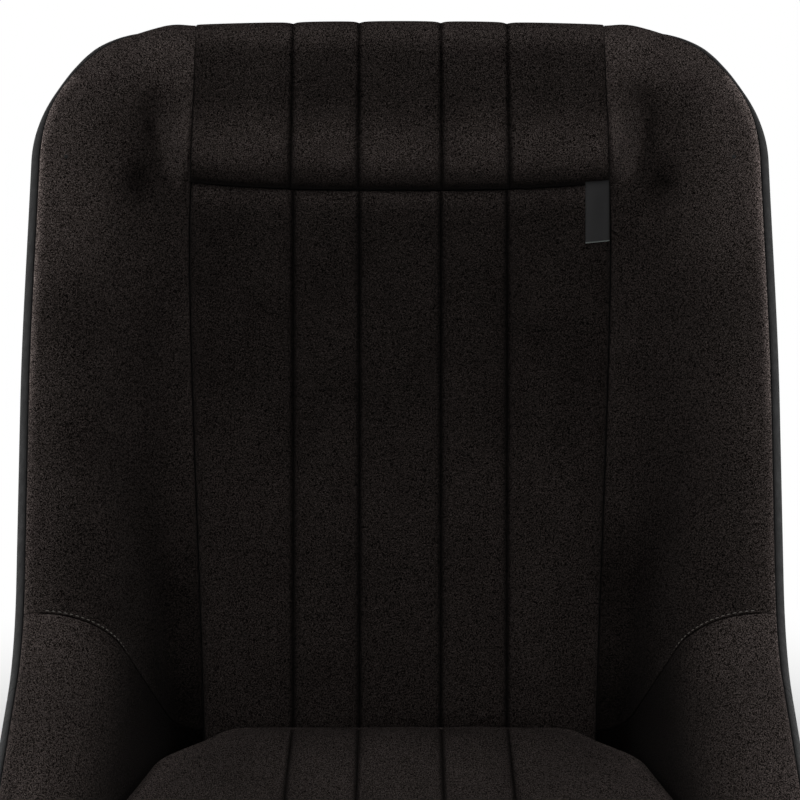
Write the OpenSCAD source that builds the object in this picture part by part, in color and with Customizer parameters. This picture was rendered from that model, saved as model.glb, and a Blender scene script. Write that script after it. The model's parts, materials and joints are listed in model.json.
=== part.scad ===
// Low-backed one-piece bucket seat on sliding runners.
// The seat faces -Y, +Z is up and +X is to the right of someone who looks at its front.
// The origin is the centre of the four floor bolts, on the plane that the runners stand on.

/* [Seat outline] */
// Width across the padded rims at the backrest
overall_w = 530; // [500:5:560]
// Sloping length of the backrest, from the bend to the middle of the crest
back_len = 471; // [440:1:500]
// Lean of the backrest from vertical, in degrees
back_lean = 16.5; // [13:0.5:20]
// Radius of the bend between pan and backrest, on the padded face
bend_r = 70; // [62:1:80]
// Length of the flat part of the pan
pan_len = 330; // [322:2:350]
// Radius of the turned-up front of the pan
lip_r = 120; // [90:5:160]
// Angle through which the front of the pan turns up
lip_turn = 18; // [12:1:24]
// Radius of the top corners, to the outside of the rim
corner_r = 96; // [90:1:105]
// How much narrower each side is at the shoulders
shoulder_in = 5; // [0:1:8]
// Radius of the front corners, to the outside of the rim
front_corner_r = 90; // [80:2:96]
// Radius of the padded rim
rim_r = 18; // [16:0.5:20]

/* [Wings] */
// Width of each wing beside the fluted panel, at the crest
wing_w_top = 102; // [96:1:106]
// Width of each wing beside the fluted panel, under the shoulder roll
wing_w_shoulder = 97; // [94:1:102]
// Width of each wing beside the fluted panel, at the cushion
wing_w_waist = 107; // [101:1:111]
// Width of each wing beside the flat pan, at its back
wing_w_back = 107; // [101:1:108]
// Width of each wing beside the flat pan, at its front
wing_w_front = 81; // [79:1:91]
// Depth of the wings at the crest
rise_top = 14; // [12:1:16]
// Height of the base bolsters at the hip
rise_hip = 138; // [130:1:144]
// Height of the base bolsters at the front
rise_front = 50; // [44:1:56]
// Distance of the hip in front of the pan's back end
hip_reach = 12; // [0:1:20]
// Radius of the wings' edge at the hip, in side view
hip_r = 95; // [80:5:110]
// Inner radius at the foot of the wings, at the shoulders and on the pan
foot_r = [40, 25];
// Crown radius of the wings, at the shoulders, at the back of the pan and at its front
crown_r = [45, 60, 40];

/* [Shell and padding] */
// Wall of the moulded shell
shell_t = 5; // [4:0.5:6]
// Thickness of the covering on the back of the shell
skin_t = 1.2; // [0.8:0.1:1.6]
// Thickness of the sewn covers with their backing
cover_t = 10; // [8:0.5:12]
// Gap left between pieces that lie on each other
fit_gap = 0.3; // [0.2:0.05:0.4]
// Gap left beside and between the pieces of foam
foam_gap = 2.5; // [1.5:0.25:3.5]
// Width of the groove round the rim between cloth and vinyl
rim_groove = 1.5; // [1:0.25:2.5]
// Height of the flutes above their seams
flute_h = 6; // [4:0.5:8]
// Depth of the seams round the fluted panel below the face
seam_depth = 2; // [1:0.5:3]
// Distance of the middle flute's seams from the centre line
flute_x_inner = 29; // [26:1:34]
// Distance of the next flute's seams from the centre line
flute_x_outer = 76; // [70:1:82]
// Sloping depth of the shoulder roll below the crest
roll_len = 95; // [85:1:110]
// Height of the shoulder roll above the backrest
roll_h = 24; // [18:1:30]
// Distance from the crest to the seam between wing and base cover, at the rim
wing_seam_rim = 478; // [474:1:500]
// Distance from the crest to the same seam, at the fluted panel
wing_seam_foot = 480; // [460:1:484]
// Size of the woven label tab: width, length and thickness
tab_size = [17, 42, 1.6];
// Distance of the label tab from the edge of the fluted panel
tab_inset = 0.5; // [0:0.5:20]

/* [Cushion] */
// Thickness of the plywood cushion board
board_t = 9.5; // [9:0.5:12]
// Height of the cushion's top at the back, above the shell
cushion_h_back = 80; // [72:1:88]
// Height of the cushion's top at the front, above the shell
cushion_h_front = 112; // [100:1:120]
// Gap between the cushion and the padding around it
cushion_gap = 3; // [2:0.5:5]
// Thickness of the cushion's quilted cover
cushion_cover_t = 6; // [5:0.5:8]
// Radius of the cushion's upper edges
cushion_edge_r = 16; // [12:1:20]
// How much wider each side of the cushion is at the top than at the foot
cushion_lean = 24; // [16:1:26]
// Length over which the cushion's sides begin to lean, from its back corners
lean_len = 75; // [60:5:100]
// Width and thickness of the hook-and-loop strips under the board
strip_size = [50, 0.9];

/* [Runners] */
// Distance between the two runners
runner_spacing = 230; // [220:2:232]
// Length of the upper rails in front of and behind the seat bolts
upper_end = 35; // [24:1:38]
// Length of the lower rails past each end of the upper rails
lower_end = 10; // [6:1:16]
// Width of the lower rails
lower_w = 44; // [42:1:46]
// Height of the lower rails
lower_h = 20; // [19:0.5:21]
// Steel thickness of both rails
rail_t = 2; // [1.5:0.25:2.5]
// Width of the lips that fold in over the upper rail
lip_w = 8.5; // [8:0.5:9]
// Width of the upper rail
upper_w = 20; // [19:0.5:21]
// Width across the flanges of the upper rail
flange_w = 35; // [34:0.5:36]
// Height of the top of the upper rails
upper_top = 32; // [31:0.5:34]
// Radius of the balls and rollers
ball_r = 3.4; // [3.2:0.05:3.5]
// Running clearance of the balls and rollers
ball_gap = 0.1; // [0.05:0.05:0.2]
// Travel of the seat each way
travel = 80; // [60:5:90]

/* [Fixings] */
// Distance of the floor bolts from the ends of the lower rails
floor_bolt_end = 20; // [18:1:25]
// Diameter of the floor bolt holes
floor_hole_d = 9; // [8.5:0.5:10]
// Distance of the seat bolts from the ends of the flat pan
seat_bolt_end = 30; // [29:1:34]
// Diameter of the seat bolts
seat_bolt_d = 8; // [8:1:8]
// Clearance on the diameter of the holes for the seat bolts
bolt_clear = 0.6; // [0.4:0.1:1]
// Diameter and thickness of the nut plates
nut_plate = [26, 2.5];
// Width across flats and height of the nuts
nut_size = [13, 6];
// Diameter of the clearance holes in the cushion board
board_hole_d = 44; // [42:1:50]

/* [Release bar] */
// Diameter of the release bar
bar_d = 10; // [9:0.5:12]
// Distance of the bar's handle in front of the pivot
bar_reach = 130; // [126:1:140]
// Distance of the pivot behind the front seat bolts
pivot_back = 31; // [30:1:36]
// Height of the pivot
pivot_z = 15; // [14:0.5:16]
// Diameter of the pivot pins
pivot_d = 8; // [7:0.5:9]
// Length of the tail behind the pivot
tail_len = 38; // [34:1:42]
// Thickness of the bracket and of the bar's side plates
plate_t = 2.5; // [2:0.25:3]
// Pitch of the comb that the bar's teeth enter
comb_pitch = 12; // [10:1:14]
// Width of each notch in the comb
notch_w = 6; // [5:0.5:7]
// Reach of the comb beside the lower rail
comb_w = 8; // [7:0.5:9]

/* [Hidden] */
eps = 0.01;

// Colours
cloth_color = "#241f1e";
vinyl_color = "#1b1b1c";
shell_color = "#3a3d40";
foam_color = "#d9d3b4";
steel_color = "#8d9093";
zinc_color = "#b9bcc0";
wood_color = "#b08b5b";
plastic_color = "#2b2d30";

// ---- The padded face of the seat --------------------------------------------------------
// A point on it is found from s, the distance down the middle of the seat from its crest,
// and u, the place across it: 0 in the middle, 1 at the foot of the wing, 2 on the rim.
// f is the distance forward, which is -Y.

crest_x = overall_w / 2 - rim_r;
panel_x_top = crest_x - wing_w_top;
top_corner = corner_r - rim_r;
front_corner = front_corner_r - rim_r;
shell_in = rim_r + rim_r - skin_t - fit_gap - shell_t;
shell_out = shell_in + shell_t;
skin_in = shell_out + fit_gap;
skin_out = skin_in + skin_t;
shell_floor_z = upper_top + plate_t;
face_z = shell_floor_z + shell_out;
pan_z = shell_floor_z + shell_t;
seat_bolt_pitch = pan_len - 2 * seat_bolt_end;
upper_len = seat_bolt_pitch + 2 * upper_end;
lower_len = upper_len + 2 * lower_end;
floor_bolt_pitch = lower_len - 2 * floor_bolt_end;
front_bolt_y = -seat_bolt_pitch / 2;
pivot_y = front_bolt_y + pivot_back;
pan_back_f = -pan_len / 2;
bend_arc = bend_r * (90 - back_lean) * PI / 180;
lip_arc = lip_r * lip_turn * PI / 180;
s_bend = back_len;
s_pan = s_bend + bend_arc;
s_lip = s_pan + pan_len;
s_end = s_lip + lip_arc;
bend_f = pan_back_f - bend_r * cos(back_lean);
bend_z = face_z + bend_r * (1 - sin(back_lean));
function mix(a, b, t) = a + (b - a) * t;
function clamp01(t) = max(0, min(1, t));
function ease(t) = let (c = clamp01(t)) c * c * (3 - 2 * c);
function unit(v) = v / norm(v);
function last(list) = len(list) - 1;

// Smooth value at s through [position, value] keys
function key_at(keys, s, i = 0) =
  i >= len(keys) - 2 || s <= keys[i + 1][0] ? i : key_at(keys, s, i + 1);
function key_slope(keys, i) =
  i <= 0 || i >= last(keys) ? 0 :
  (keys[i + 1][1] - keys[i - 1][1]) / (keys[i + 1][0] - keys[i - 1][0]);
function through(keys, s) =
  let (i = key_at(keys, s), a = keys[i], b = keys[i + 1], w = b[0] - a[0], t = clamp01((s - a[0]) / w))
  (1 + 2 * t) * (1 - t) * (1 - t) * a[1] + t * t * (3 - 2 * t) * b[1]
  + w * (t * (1 - t) * (1 - t) * key_slope(keys, i) - t * t * (1 - t) * key_slope(keys, i + 1));

foot_keys = [
  [0, panel_x_top], [0.3 * back_len, crest_x - wing_w_shoulder], [s_bend, crest_x - wing_w_waist],
  [s_pan, crest_x - wing_w_back], [s_pan + pan_len / 2, crest_x - wing_w_front],
  [s_end, crest_x - wing_w_front]
];

function foot_x(s) = through(foot_keys, s);
function foot_radius(s) = mix(foot_r[0], foot_r[1], ease(s / s_pan));
function crown_radius(s) = through([[0, crown_r[0]], [s_pan, crown_r[1]], [s_end, crown_r[2]]], s);
// Half distance between the crests of the rims
function rim_x(s) = crest_x - shoulder_in * (1 - ease(s / (0.6 * back_len)));

// Middle line of the face, as [f, z]
function spine(s) =
  s <= s_bend ? [bend_f - (s_bend - s) * sin(back_lean), bend_z + (s_bend - s) * cos(back_lean)] :
  s <= s_pan ? let (a = (s_pan - s) / bend_r * 180 / PI)
    [pan_back_f - bend_r * sin(a), face_z + bend_r * (1 - cos(a))] :
  s <= s_lip ? [pan_back_f + s - s_pan, face_z] :
  let (a = (s - s_lip) / lip_r * 180 / PI)
    [pan_back_f + pan_len + lip_r * sin(a), face_z + lip_r * (1 - cos(a))];

// Edge of a wing in side view: straight from the crest, round the hip and straight to the front
edge_a = spine(0) + rise_top * [cos(back_lean), sin(back_lean)];
edge_b = [pan_back_f + hip_reach, face_z + rise_hip];
edge_c = spine(s_end) + [0, rise_front];
dir_a = unit(edge_b - edge_a);
dir_c = unit(edge_c - edge_b);
turn_a = atan2(dir_a[1], dir_a[0]);
hip_turn = atan2(dir_c[1], dir_c[0]) - turn_a;
straight_a = norm(edge_b - edge_a) - hip_r * tan(hip_turn / 2);
straight_c = norm(edge_c - edge_b) - hip_r * tan(hip_turn / 2);
hip_arc = hip_r * hip_turn * PI / 180;
edge_len = straight_a + hip_arc + straight_c;
function wing_edge(s) =
  let (e = s - (s_end - edge_len) * ease(s / s_end))
  e < straight_a ? edge_a + e * dir_a :
  e > edge_len - straight_c ? edge_c - (edge_len - e) * dir_c :
  let (a = turn_a + (e - straight_a) / hip_r * 180 / PI)
  edge_a + straight_a * dir_a + hip_r * [sin(a) - sin(turn_a), cos(turn_a) - cos(a)];
function rise(s) = norm(wing_edge(s) - spine(s));

// Across the seat: flat panel, foot arc, straight wall and crown arc, as [x, height]
function across(u, s) =
  let (x0 = foot_x(s), w = abs(u) - 1)
  w <= 0 ? [u * x0, 0] :
  let (
    r1 = foot_radius(s), r2 = crown_radius(s), h = rise(s), cx = rim_x(s),
    dx = cx - x0, dh = h - r1 - r2,
    reach = norm([dx, dh]), a = atan2(dh, dx) + asin((r1 + r2) / reach),
    wall = sqrt(reach * reach - (r1 + r2) * (r1 + r2)),
    arc1 = r1 * a * PI / 180, arc2 = r2 * a * PI / 180,
    e = w * (arc1 + wall + arc2),
    p = e < arc1 ? let (t = e / r1 * 180 / PI) [x0 + r1 * sin(t), r1 * (1 - cos(t))] :
        e < arc1 + wall ? [x0 + r1 * sin(a) + (e - arc1) * cos(a), r1 * (1 - cos(a)) + (e - arc1) * sin(a)] :
        let (t = a - (e - arc1 - wall) / r2 * 180 / PI) [cx - r2 * sin(t), h - r2 * (1 - cos(t))]
  )
  [sign(u) * p[0], p[1]];

// Rounds the square corners of the (x, s) plane. a and b run from 0 to 1 into the corner, and
// their product, which comes third, is 0 outside it.
function rounded(x, s) =
  let (
    top = s < top_corner, r = top ? top_corner : front_corner,
    depth = top ? top_corner - s : s - (s_end - front_corner),
    cx = rim_x(s), a = (abs(x) - (cx - r)) / r, b = depth / r
  )
  a <= 0 || b <= 0 ? [x, s, 0] :
  [sign(x) * (cx - r + r * a * sqrt(1 - b * b / 2)),
   s + (top ? 1 : -1) * (depth - depth * sqrt(1 - a * a / 2)), a * b];

function face(u, s) =
  let (
    q = rounded(across(u, s)[0], s), m = spine(q[1]), h = mix(across(u, q[1])[1], rise(q[1]), q[2]),
    p = m + h * unit(wing_edge(q[1]) - m)
  )
  [q[0], -p[0], p[1]];

// Unit normal, which points to the sitter. At the tip of a corner it is taken just inside.
step_u = 0.004;
step_s = 0.6;
corner_u = 1.97;
corner_s = 3;
function face_normal(u, s) =
  abs(u) > corner_u && s < corner_s ? face_normal(sign(u) * corner_u, corner_s) :
  abs(u) > corner_u && s > s_end - corner_s ? face_normal(sign(u) * corner_u, s_end - corner_s) :
  let (
    ua = max(-2, u - step_u), ub = min(2, u + step_u),
    sa = max(0, s - step_s), sb = min(s_end, s + step_s)
  )
  unit(cross(face(u, sb) - face(u, sa), face(ub, s) - face(ua, s)));
// Point at a height above the face; a negative height is inside the padding
function above(u, s, h) = face(u, s) + h * face_normal(u, s);

// Way round the edge of the face: from [-2, 0] along the crest to [2, 0], down that side, along the
// front and back up. A step of 1 in u counts as unit_w.
unit_w = crest_x / 2;
way_round = 8 * unit_w + 2 * s_end;
function edge_way(p) =
  p[1] <= 0 ? (p[0] + 2) * unit_w :
  p[0] >= 2 ? 4 * unit_w + p[1] :
  p[1] >= s_end ? 4 * unit_w + s_end + (2 - p[0]) * unit_w : 8 * unit_w + 2 * s_end - p[1];
function edge_place(way) =
  let (w = (way + way_round) % way_round, side = w - 4 * unit_w, front = side - s_end)
  side < 0 ? [w / unit_w - 2, 0] :
  front < 0 ? [2, side] :
  front < 4 * unit_w ? [2 - front / unit_w, s_end] : [-2, s_end - (front - 4 * unit_w)];

// The rim is an arc of radius rim_r round this edge, from the front at 0 degrees.
// edge_frame gives [middle of the arc, outward direction, normal] at a place [u, s].
edge_step = 14;
function edge_frame(p) =
  let (
    a = edge_place(edge_way(p) - edge_step), b = edge_place(edge_way(p) + edge_step),
    up = unit(face_normal(a[0], a[1]) + face_normal(p[0], p[1]) + face_normal(b[0], b[1])),
    along = face(b[0], b[1]) - face(a[0], a[1]),
    out = unit(cross(up, along)), nrm = unit(cross(along, out))
  )
  [face(p[0], p[1]) - rim_r * nrm, out, nrm];
function round_rim(frame, angle, r) = frame[0] + r * (sin(angle) * frame[1] + cos(angle) * frame[2]);

// Place of the seam round the rim, in degrees from the front: far back along the crest,
// and in view down the sides
seam_crest = 96;
seam_corner = 62;
seam_side = 42;
seam_fade = 70;
function seam_angle(p) =
  p[1] <= 0 ? mix(seam_crest, seam_corner, ease(abs(p[0]) - 1)) :
  mix(seam_corner, seam_side, ease(p[1] / seam_fade));
groove_turn = rim_groove / rim_r * 180 / PI;

// ---- Meshes -----------------------------------------------------------------------------
// A sheet is a grid of rows and columns with rings of points added round part of its edge.
// Its points are listed row by row, then ring by ring. Left of column mid the other diagonal is
// used, so that both halves of a seat match.

function two_faces(a, b, c, d, other) = other ? [[a, b, c], [b, d, c]] : [[a, b, d], [a, d, c]];
function grid_faces(rows, cols, mid = 0) = [
  for (i = [0:rows - 2], j = [0:cols - 2])
    let (a = i * cols + j)
    each two_faces(a, a + 1, a + cols, a + cols + 1, j < mid)
];
function ring_index(path, start, k, i) = k == 0 ? path[i] : start + (k - 1) * len(path) + i;
function ring_faces(path, start, rings, closed, us) = [
  for (k = [0:rings - 1], i = [0:len(path) - (closed ? 1 : 2)])
    let (j = (i + 1) % len(path))
    each two_faces(
      ring_index(path, start, k + 1, i), ring_index(path, start, k + 1, j),
      ring_index(path, start, k, i), ring_index(path, start, k, j), us[i] + us[j] >= 0
    )
];
// Closed solid between two sheets of the same faces; edge runs round them clockwise, seen from outside
module slab(outer, inner, faces, edge) {
  n = len(outer);
  polyhedron(
    points = concat(outer, inner),
    faces = concat(
      faces,
      [for (f = faces) [f[2] + n, f[1] + n, f[0] + n]],
      [for (i = [0:last(edge)])
        let (a = edge[i], b = edge[(i + 1) % len(edge)])
        each [[a, a + n, b + n], [a, b + n, b]]]
    ),
    convexity = 6
  );
}

function spread(a, b, n) = [for (i = [0:n]) mix(a, b, i / n)];
function tail(list) = [for (i = [1:last(list)]) list[i]];
function flat(rows) = [for (r = rows) each r];

// Places round the edge of a grid, clockwise from its top left, as [row, column]
function border(rows, cols) = concat(
  [for (j = [0:cols - 1]) [0, j]], [for (i = [1:rows - 1]) [i, cols - 1]],
  [for (j = [cols - 2:-1:0]) [rows - 1, j]], [for (i = [rows - 2:-1:1]) [i, 0]]
);
function indices(places, cols) = [for (p = places) p[0] * cols + p[1]];
function turned(list, from) = [for (i = [0:last(list)]) list[(i + from) % len(list)]];

// Shoulder roll: along it t runs from -1 at the seam behind the crest, by 0 on the crest, to 1 at
// the seam in front. Beside the fluted panel it fades out under the wing covers.
swell_behind = 0.22;
fade_crest = 0.42;
fade_seam = 0.14;
function swell_along(t) =
  let (v = t < 0 ? swell_behind * (1 + t) : mix(swell_behind, 1, t))
  v <= 0 || v >= 1 ? 0 : roll_h * sqrt(sin(180 * pow(v, 1.25)));
function swell_beside(u, t) =
  swell_along(t) * (1 - ease((abs(u) - 1) / mix(fade_crest, fade_seam, clamp01(t))));

// The sheet of the face at height h. A rim of radius rim_r + h starts from the places in route and
// turns to the seam: from the front of the rim, or from its back where from_back is true.
rim_steps = 5;
function rim_turn(p, k, from_back) =
  (k / rim_steps) * (from_back ? seam_angle(p) - 180 : seam_angle(p) - groove_turn);
function sheet(grid, route, h, from_back, swells) =
  let (frames = [for (p = route) edge_frame(p)])
  concat(
    [for (row = grid, p = row) above(p[0], p[1], h + (swells ? swell_beside(p[0], p[1] / roll_len) : 0))],
    [for (k = [1:rim_steps], i = [0:last(route)])
      round_rim(frames[i], rim_turn(route[i], k, from_back),
        rim_r + h + (swells && route[i][1] <= 0 ? swell_beside(route[i][0], -k / rim_steps) : 0))]
  );
// Solid between the heights h_out and h_in, with a rim that starts at place first of the grid's
// border and runs on for count places
module rimmed(grid, first, count, h_out, h_in, from_back = false, swells = false) {
  rows = len(grid);
  cols = len(grid[0]);
  mid = grid[0][0][0] < 0 ? (cols - 1) / 2 : 0;
  loop = turned(border(rows, cols), first);
  closed = count >= len(loop);
  n = min(count, len(loop));
  path = [for (i = [0:n - 1]) loop[i]];
  route = [for (p = path) grid[p[0]][p[1]]];
  start = rows * cols;
  outer_ring = [for (i = [0:n - 1]) start + (rim_steps - 1) * n + i];
  edge = closed ? outer_ring : concat(
    outer_ring,
    [for (k = [rim_steps - 2:-1:0]) start + k * n + n - 1],
    indices([for (i = [n - 1:last(loop)]) loop[i]], cols),
    indices([path[0]], cols),
    [for (k = [0:rim_steps - 2]) start + k * n]
  );
  slab(
    sheet(grid, route, h_out, from_back, swells), sheet(grid, route, h_in, from_back, false),
    concat(
      grid_faces(rows, cols, mid),
      ring_faces(indices(path, cols), start, rim_steps, closed, [for (p = route) p[0]])
    ), edge
  );
}
// Solid between two grids of points
module patch(outer, inner) {
  rows = len(outer);
  cols = len(outer[0]);
  slab(flat(outer), flat(inner), grid_faces(rows, cols), indices(border(rows, cols), cols));
}

// ---- Rows and columns that all layers share ------------------------------------------------
wing_steps = 7;
wing_us = [for (i = [0:wing_steps]) 1 + i / wing_steps];
full_us = concat([for (i = [wing_steps:-1:0]) -wing_us[i]], [0], wing_us);
bend_rows = tail(spread(s_bend, s_pan, 5));
back_rows = concat(spread(0, top_corner, 5), spread(roll_len, s_bend, 6), bend_rows);
pan_rows = concat(spread(s_pan, s_end - front_corner, 4), tail(spread(s_end - front_corner, s_end, 4)));
all_rows = concat(back_rows, tail(pan_rows));
seam_row = len(back_rows) - len(bend_rows);
panel_row = seam_row + 2;
foam_row = seam_row + 3;
function part_of(list, from, to) = [for (i = [from:to]) list[i]];

// Rows between the shoulder roll and the pan bend, so that one of them lies on the seam between
// wing and base cover
function wing_seam(u) = mix(wing_seam_foot, wing_seam_rim, ease(abs(u) - 1));
function row_s(u, s) =
  let (seam = all_rows[seam_row], shift = wing_seam(u) - seam)
  s <= roll_len || s >= s_pan ? s :
  s + shift * (s < seam ? (s - roll_len) / (seam - roll_len) : (s_pan - s) / (s_pan - seam));
function places(us, ss) = [for (s = ss) [for (u = us) [u, row_s(u, s)]]];
// The same with the first or the last row moved by a gap
function moved_row(grid, row, gap) =
  [for (i = [0:last(grid)]) [for (p = grid[i]) i == row ? [p[0], p[1] + gap] : p]];

// ---- Shell and its covering --------------------------------------------------------------
seat_holes = [for (x = [-1, 1], y = [-1, 1]) [x * runner_spacing / 2, y * seat_bolt_pitch / 2]];
seat_hole_r = (seat_bolt_d + bolt_clear) / 2;

module seat_shell() color(shell_color) difference() {
  shell_edge = 2 * (len(full_us) + len(all_rows));
  rimmed(places(full_us, all_rows), 0, shell_edge, -shell_in, -shell_out, from_back = true);
  for (p = seat_holes)
    translate([p[0], p[1], shell_floor_z - 1]) cylinder(h = shell_t + 2, r = seat_hole_r, $fn = 32);
}

module rear_cover() color(vinyl_color) {
  rows = len(back_rows);
  cols = len(full_us);
  first = 2 * cols + rows - 3;
  rimmed(places(full_us, back_rows), first, 2 * rows + cols - 2, -skin_in, -skin_out, from_back = true);
}

// Covering under one side of the base; it meets the rear cover at the bend
module base_side_cover() color(vinyl_color)
  rimmed(
    moved_row(places(wing_us, pan_rows), 0, fit_gap), last(wing_us), len(pan_rows) + last(wing_us),
    -skin_in, -skin_out, from_back = true
  );

// ---- Foam and sewn covers ----------------------------------------------------------------
foam_top = cover_t + fit_gap;
foam_base = shell_in - fit_gap;

// Place moved in from the foot of the wing, clear of the foam beside the cushion
function moved_in(p) = [p[0] * (1 - 2 * foam_gap / foot_x(p[1])), p[1]];

// The foam reaches further down behind the cushion than on the wings
module back_foam() color(foam_color) {
  whole = moved_row(places(full_us, part_of(all_rows, 0, foam_row)), seam_row, -foam_gap / 2);
  grid = [for (i = [0:foam_row]) [for (p = whole[i]) i > seam_row && abs(p[0]) == 1 ? moved_in(p) : p]];
  cols = len(full_us);
  foot = [wing_steps, wing_steps + 2];
  cells = [
    for (i = [0:foam_row - 1], j = [0:cols - 2]) if (i < seam_row || (j >= foot[0] && j < foot[1]))
      let (a = i * cols + j)
      each two_faces(a, a + 1, a + cols, a + cols + 1, j <= wing_steps)
  ];
  edge = concat(
    [for (j = [0:cols - 1]) [0, j]], [for (i = [1:seam_row]) [i, cols - 1]],
    [for (j = [cols - 2:-1:foot[1]]) [seam_row, j]], [for (i = [seam_row + 1:foam_row]) [i, foot[1]]],
    [for (j = [foot[1] - 1:-1:foot[0]]) [foam_row, j]], [for (i = [foam_row - 1:-1:seam_row]) [i, foot[0]]],
    [for (j = [foot[0] - 1:-1:0]) [seam_row, j]], [for (i = [seam_row - 1:-1:1]) [i, 0]]
  );
  slab(
    [for (row = grid, p = row) above(p[0], p[1], -foam_top)],
    [for (row = grid, p = row) above(p[0], p[1], -foam_base)], cells, indices(edge, cols)
  );
}

// Flutes across the panel: the height above the face at x, for a panel of half width w
function flute(x, w, depth) =
  let (
    ax = abs(x), k = ax < flute_x_inner ? 0 : ax < flute_x_outer ? 1 : 2,
    edges = [[-flute_x_inner, flute_x_inner], [flute_x_inner, flute_x_outer], [flute_x_outer, w]][k],
    t = 2 * (ax - edges[0]) / (edges[1] - edges[0]) - 1
  )
  depth * sqrt(max(0, 1 - t * t));
flute_steps = 4;
function half_xs(w) = concat(
  [for (i = [0:flute_steps / 2 - 1]) flute_x_inner * i / (flute_steps / 2)],
  [for (i = [0:flute_steps - 1]) mix(flute_x_inner, flute_x_outer, (1 - cos(180 * i / flute_steps)) / 2)],
  [for (i = [0:flute_steps]) mix(flute_x_outer, w, (1 - cos(180 * i / flute_steps)) / 2)]
);
function panel_xs(w) = let (h = half_xs(w)) concat([for (i = [last(h):-1:1]) -h[i]], h);

// The panel dips into the seam under the roll; its height there at [x, s]
panel_dip = 14;
panel_gap = 3 * fit_gap;
panel_start = roll_len + fit_gap;
panel_ss = concat(
  [panel_start, roll_len + panel_dip], [for (s = part_of(all_rows, seam_row - 6, panel_row)) row_s(0, s)]
);
function panel_height(x, s) =
  mix(-seam_depth, flute(x, foot_x(s) - panel_gap, flute_h), sqrt(clamp01((s - panel_start) / panel_dip)));
module back_panel() color(cloth_color) {
  grid = [for (s = panel_ss)
    [for (x = panel_xs(foot_x(s) - panel_gap)) [x / foot_x(s), s, panel_height(x, s)]]];
  patch(
    [for (row = grid) [for (p = row) above(p[0], p[1], p[2])]],
    [for (row = grid) [for (p = row) above(p[0], p[1], -cover_t)]]
  );
}

// Padded roll across the shoulders. It starts behind the crest and ends in a deep seam.
roll_rows = 9;
module shoulder_roll() {
  ts = concat([for (k = [rim_steps:-1:1]) -k / rim_steps], [for (i = [0:roll_rows]) sin(90 * i / roll_rows)]);
  relief = flute_h / 3;
  function place(x, t, h) =
    let (u = x / panel_x_top)
    t >= 0 ? above(u, t * roll_len, h) :
    round_rim(edge_frame([u, 0]), rim_turn([u, 0], -t * rim_steps, false), rim_r + h);
  xs = panel_xs(panel_x_top - fit_gap);
  color(cloth_color) patch(
    [for (t = ts) [for (x = xs) place(x, t, swell_along(t) + flute(x, panel_x_top, relief) - seam_depth)]],
    [for (t = ts) [for (x = xs) place(x, t, -cover_t)]]
  );
}

// Cover of one wing, from the crest to the seam beside the cushion, with the rim as far as its seam
module wing_cover() color(cloth_color)
  rimmed(
    moved_row(places(wing_us, part_of(all_rows, 0, seam_row)), seam_row, -fit_gap),
    0, seam_row + len(wing_us), 0, -cover_t, swells = true
  );

// Cover of one side of the base, and the foam under it
base_grid = places(wing_us, part_of(all_rows, seam_row, last(all_rows)));
module base_wing() color(cloth_color)
  rimmed(base_grid, last(wing_us), len(base_grid) + last(wing_us), 0, -cover_t);
module base_foam() color(foam_color) {
  grid = moved_row(base_grid, 0, fit_gap);
  patch(
    [for (row = grid) [for (p = row) above(p[0], p[1], -foam_top)]],
    [for (row = grid) [for (p = row) above(p[0], p[1], -foam_base)]]
  );
}

// Folded woven tab, sewn into the seam under the shoulder roll
tab_edge = foot_x(roll_len) - tab_inset;
function tab_sheet(h) =
  [for (s = [panel_start, roll_len + panel_dip, roll_len + tab_size[1]])
    [for (x = spread(tab_edge - tab_size[0], tab_edge, 2))
      above(x / foot_x(s), s, max(0, panel_height(x, s)) + fit_gap + h)]];
module label_tab() color(cloth_color) patch(tab_sheet(tab_size[2]), tab_sheet(0));

// ---- Fixings between shell and runners ----------------------------------------------------
module nut_plates() color(zinc_color)
  for (p = seat_holes) translate([p[0], p[1], pan_z]) difference() {
    union() {
      cylinder(h = nut_plate[1], d = nut_plate[0], $fn = 64);
      translate([0, 0, nut_plate[1]]) cylinder(h = nut_size[1], d = nut_size[0] / cos(30), $fn = 6);
    }
    translate([0, 0, -1]) cylinder(h = nut_plate[1] + nut_size[1] + 2, d = seat_bolt_d + 0.2, $fn = 48);
  }

bolt_head = [13, 8];
module seat_bolts() color(zinc_color)
  for (p = seat_holes) translate([p[0], p[1], upper_top - rail_t]) difference() {
    union() {
      translate([0, 0, -bolt_head[1]]) cylinder(h = bolt_head[1], d = bolt_head[0], $fn = 48);
      cylinder(h = pan_z + nut_plate[1] + nut_size[1] - (upper_top - rail_t), d = seat_bolt_d, $fn = 48);
    }
    translate([0, 0, -bolt_head[1] - eps]) cylinder(h = bolt_head[1] / 2, d = seat_bolt_d * 0.85, $fn = 6);
  }

module rear_spacers() color(zinc_color)
  for (p = seat_holes) if (p[1] > 0) translate([p[0], p[1], upper_top]) difference() {
    cylinder(h = plate_t, d = 2.8 * seat_bolt_d, $fn = 48);
    translate([0, 0, -1]) cylinder(h = plate_t + 2, r = seat_hole_r, $fn = 48);
  }

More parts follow.
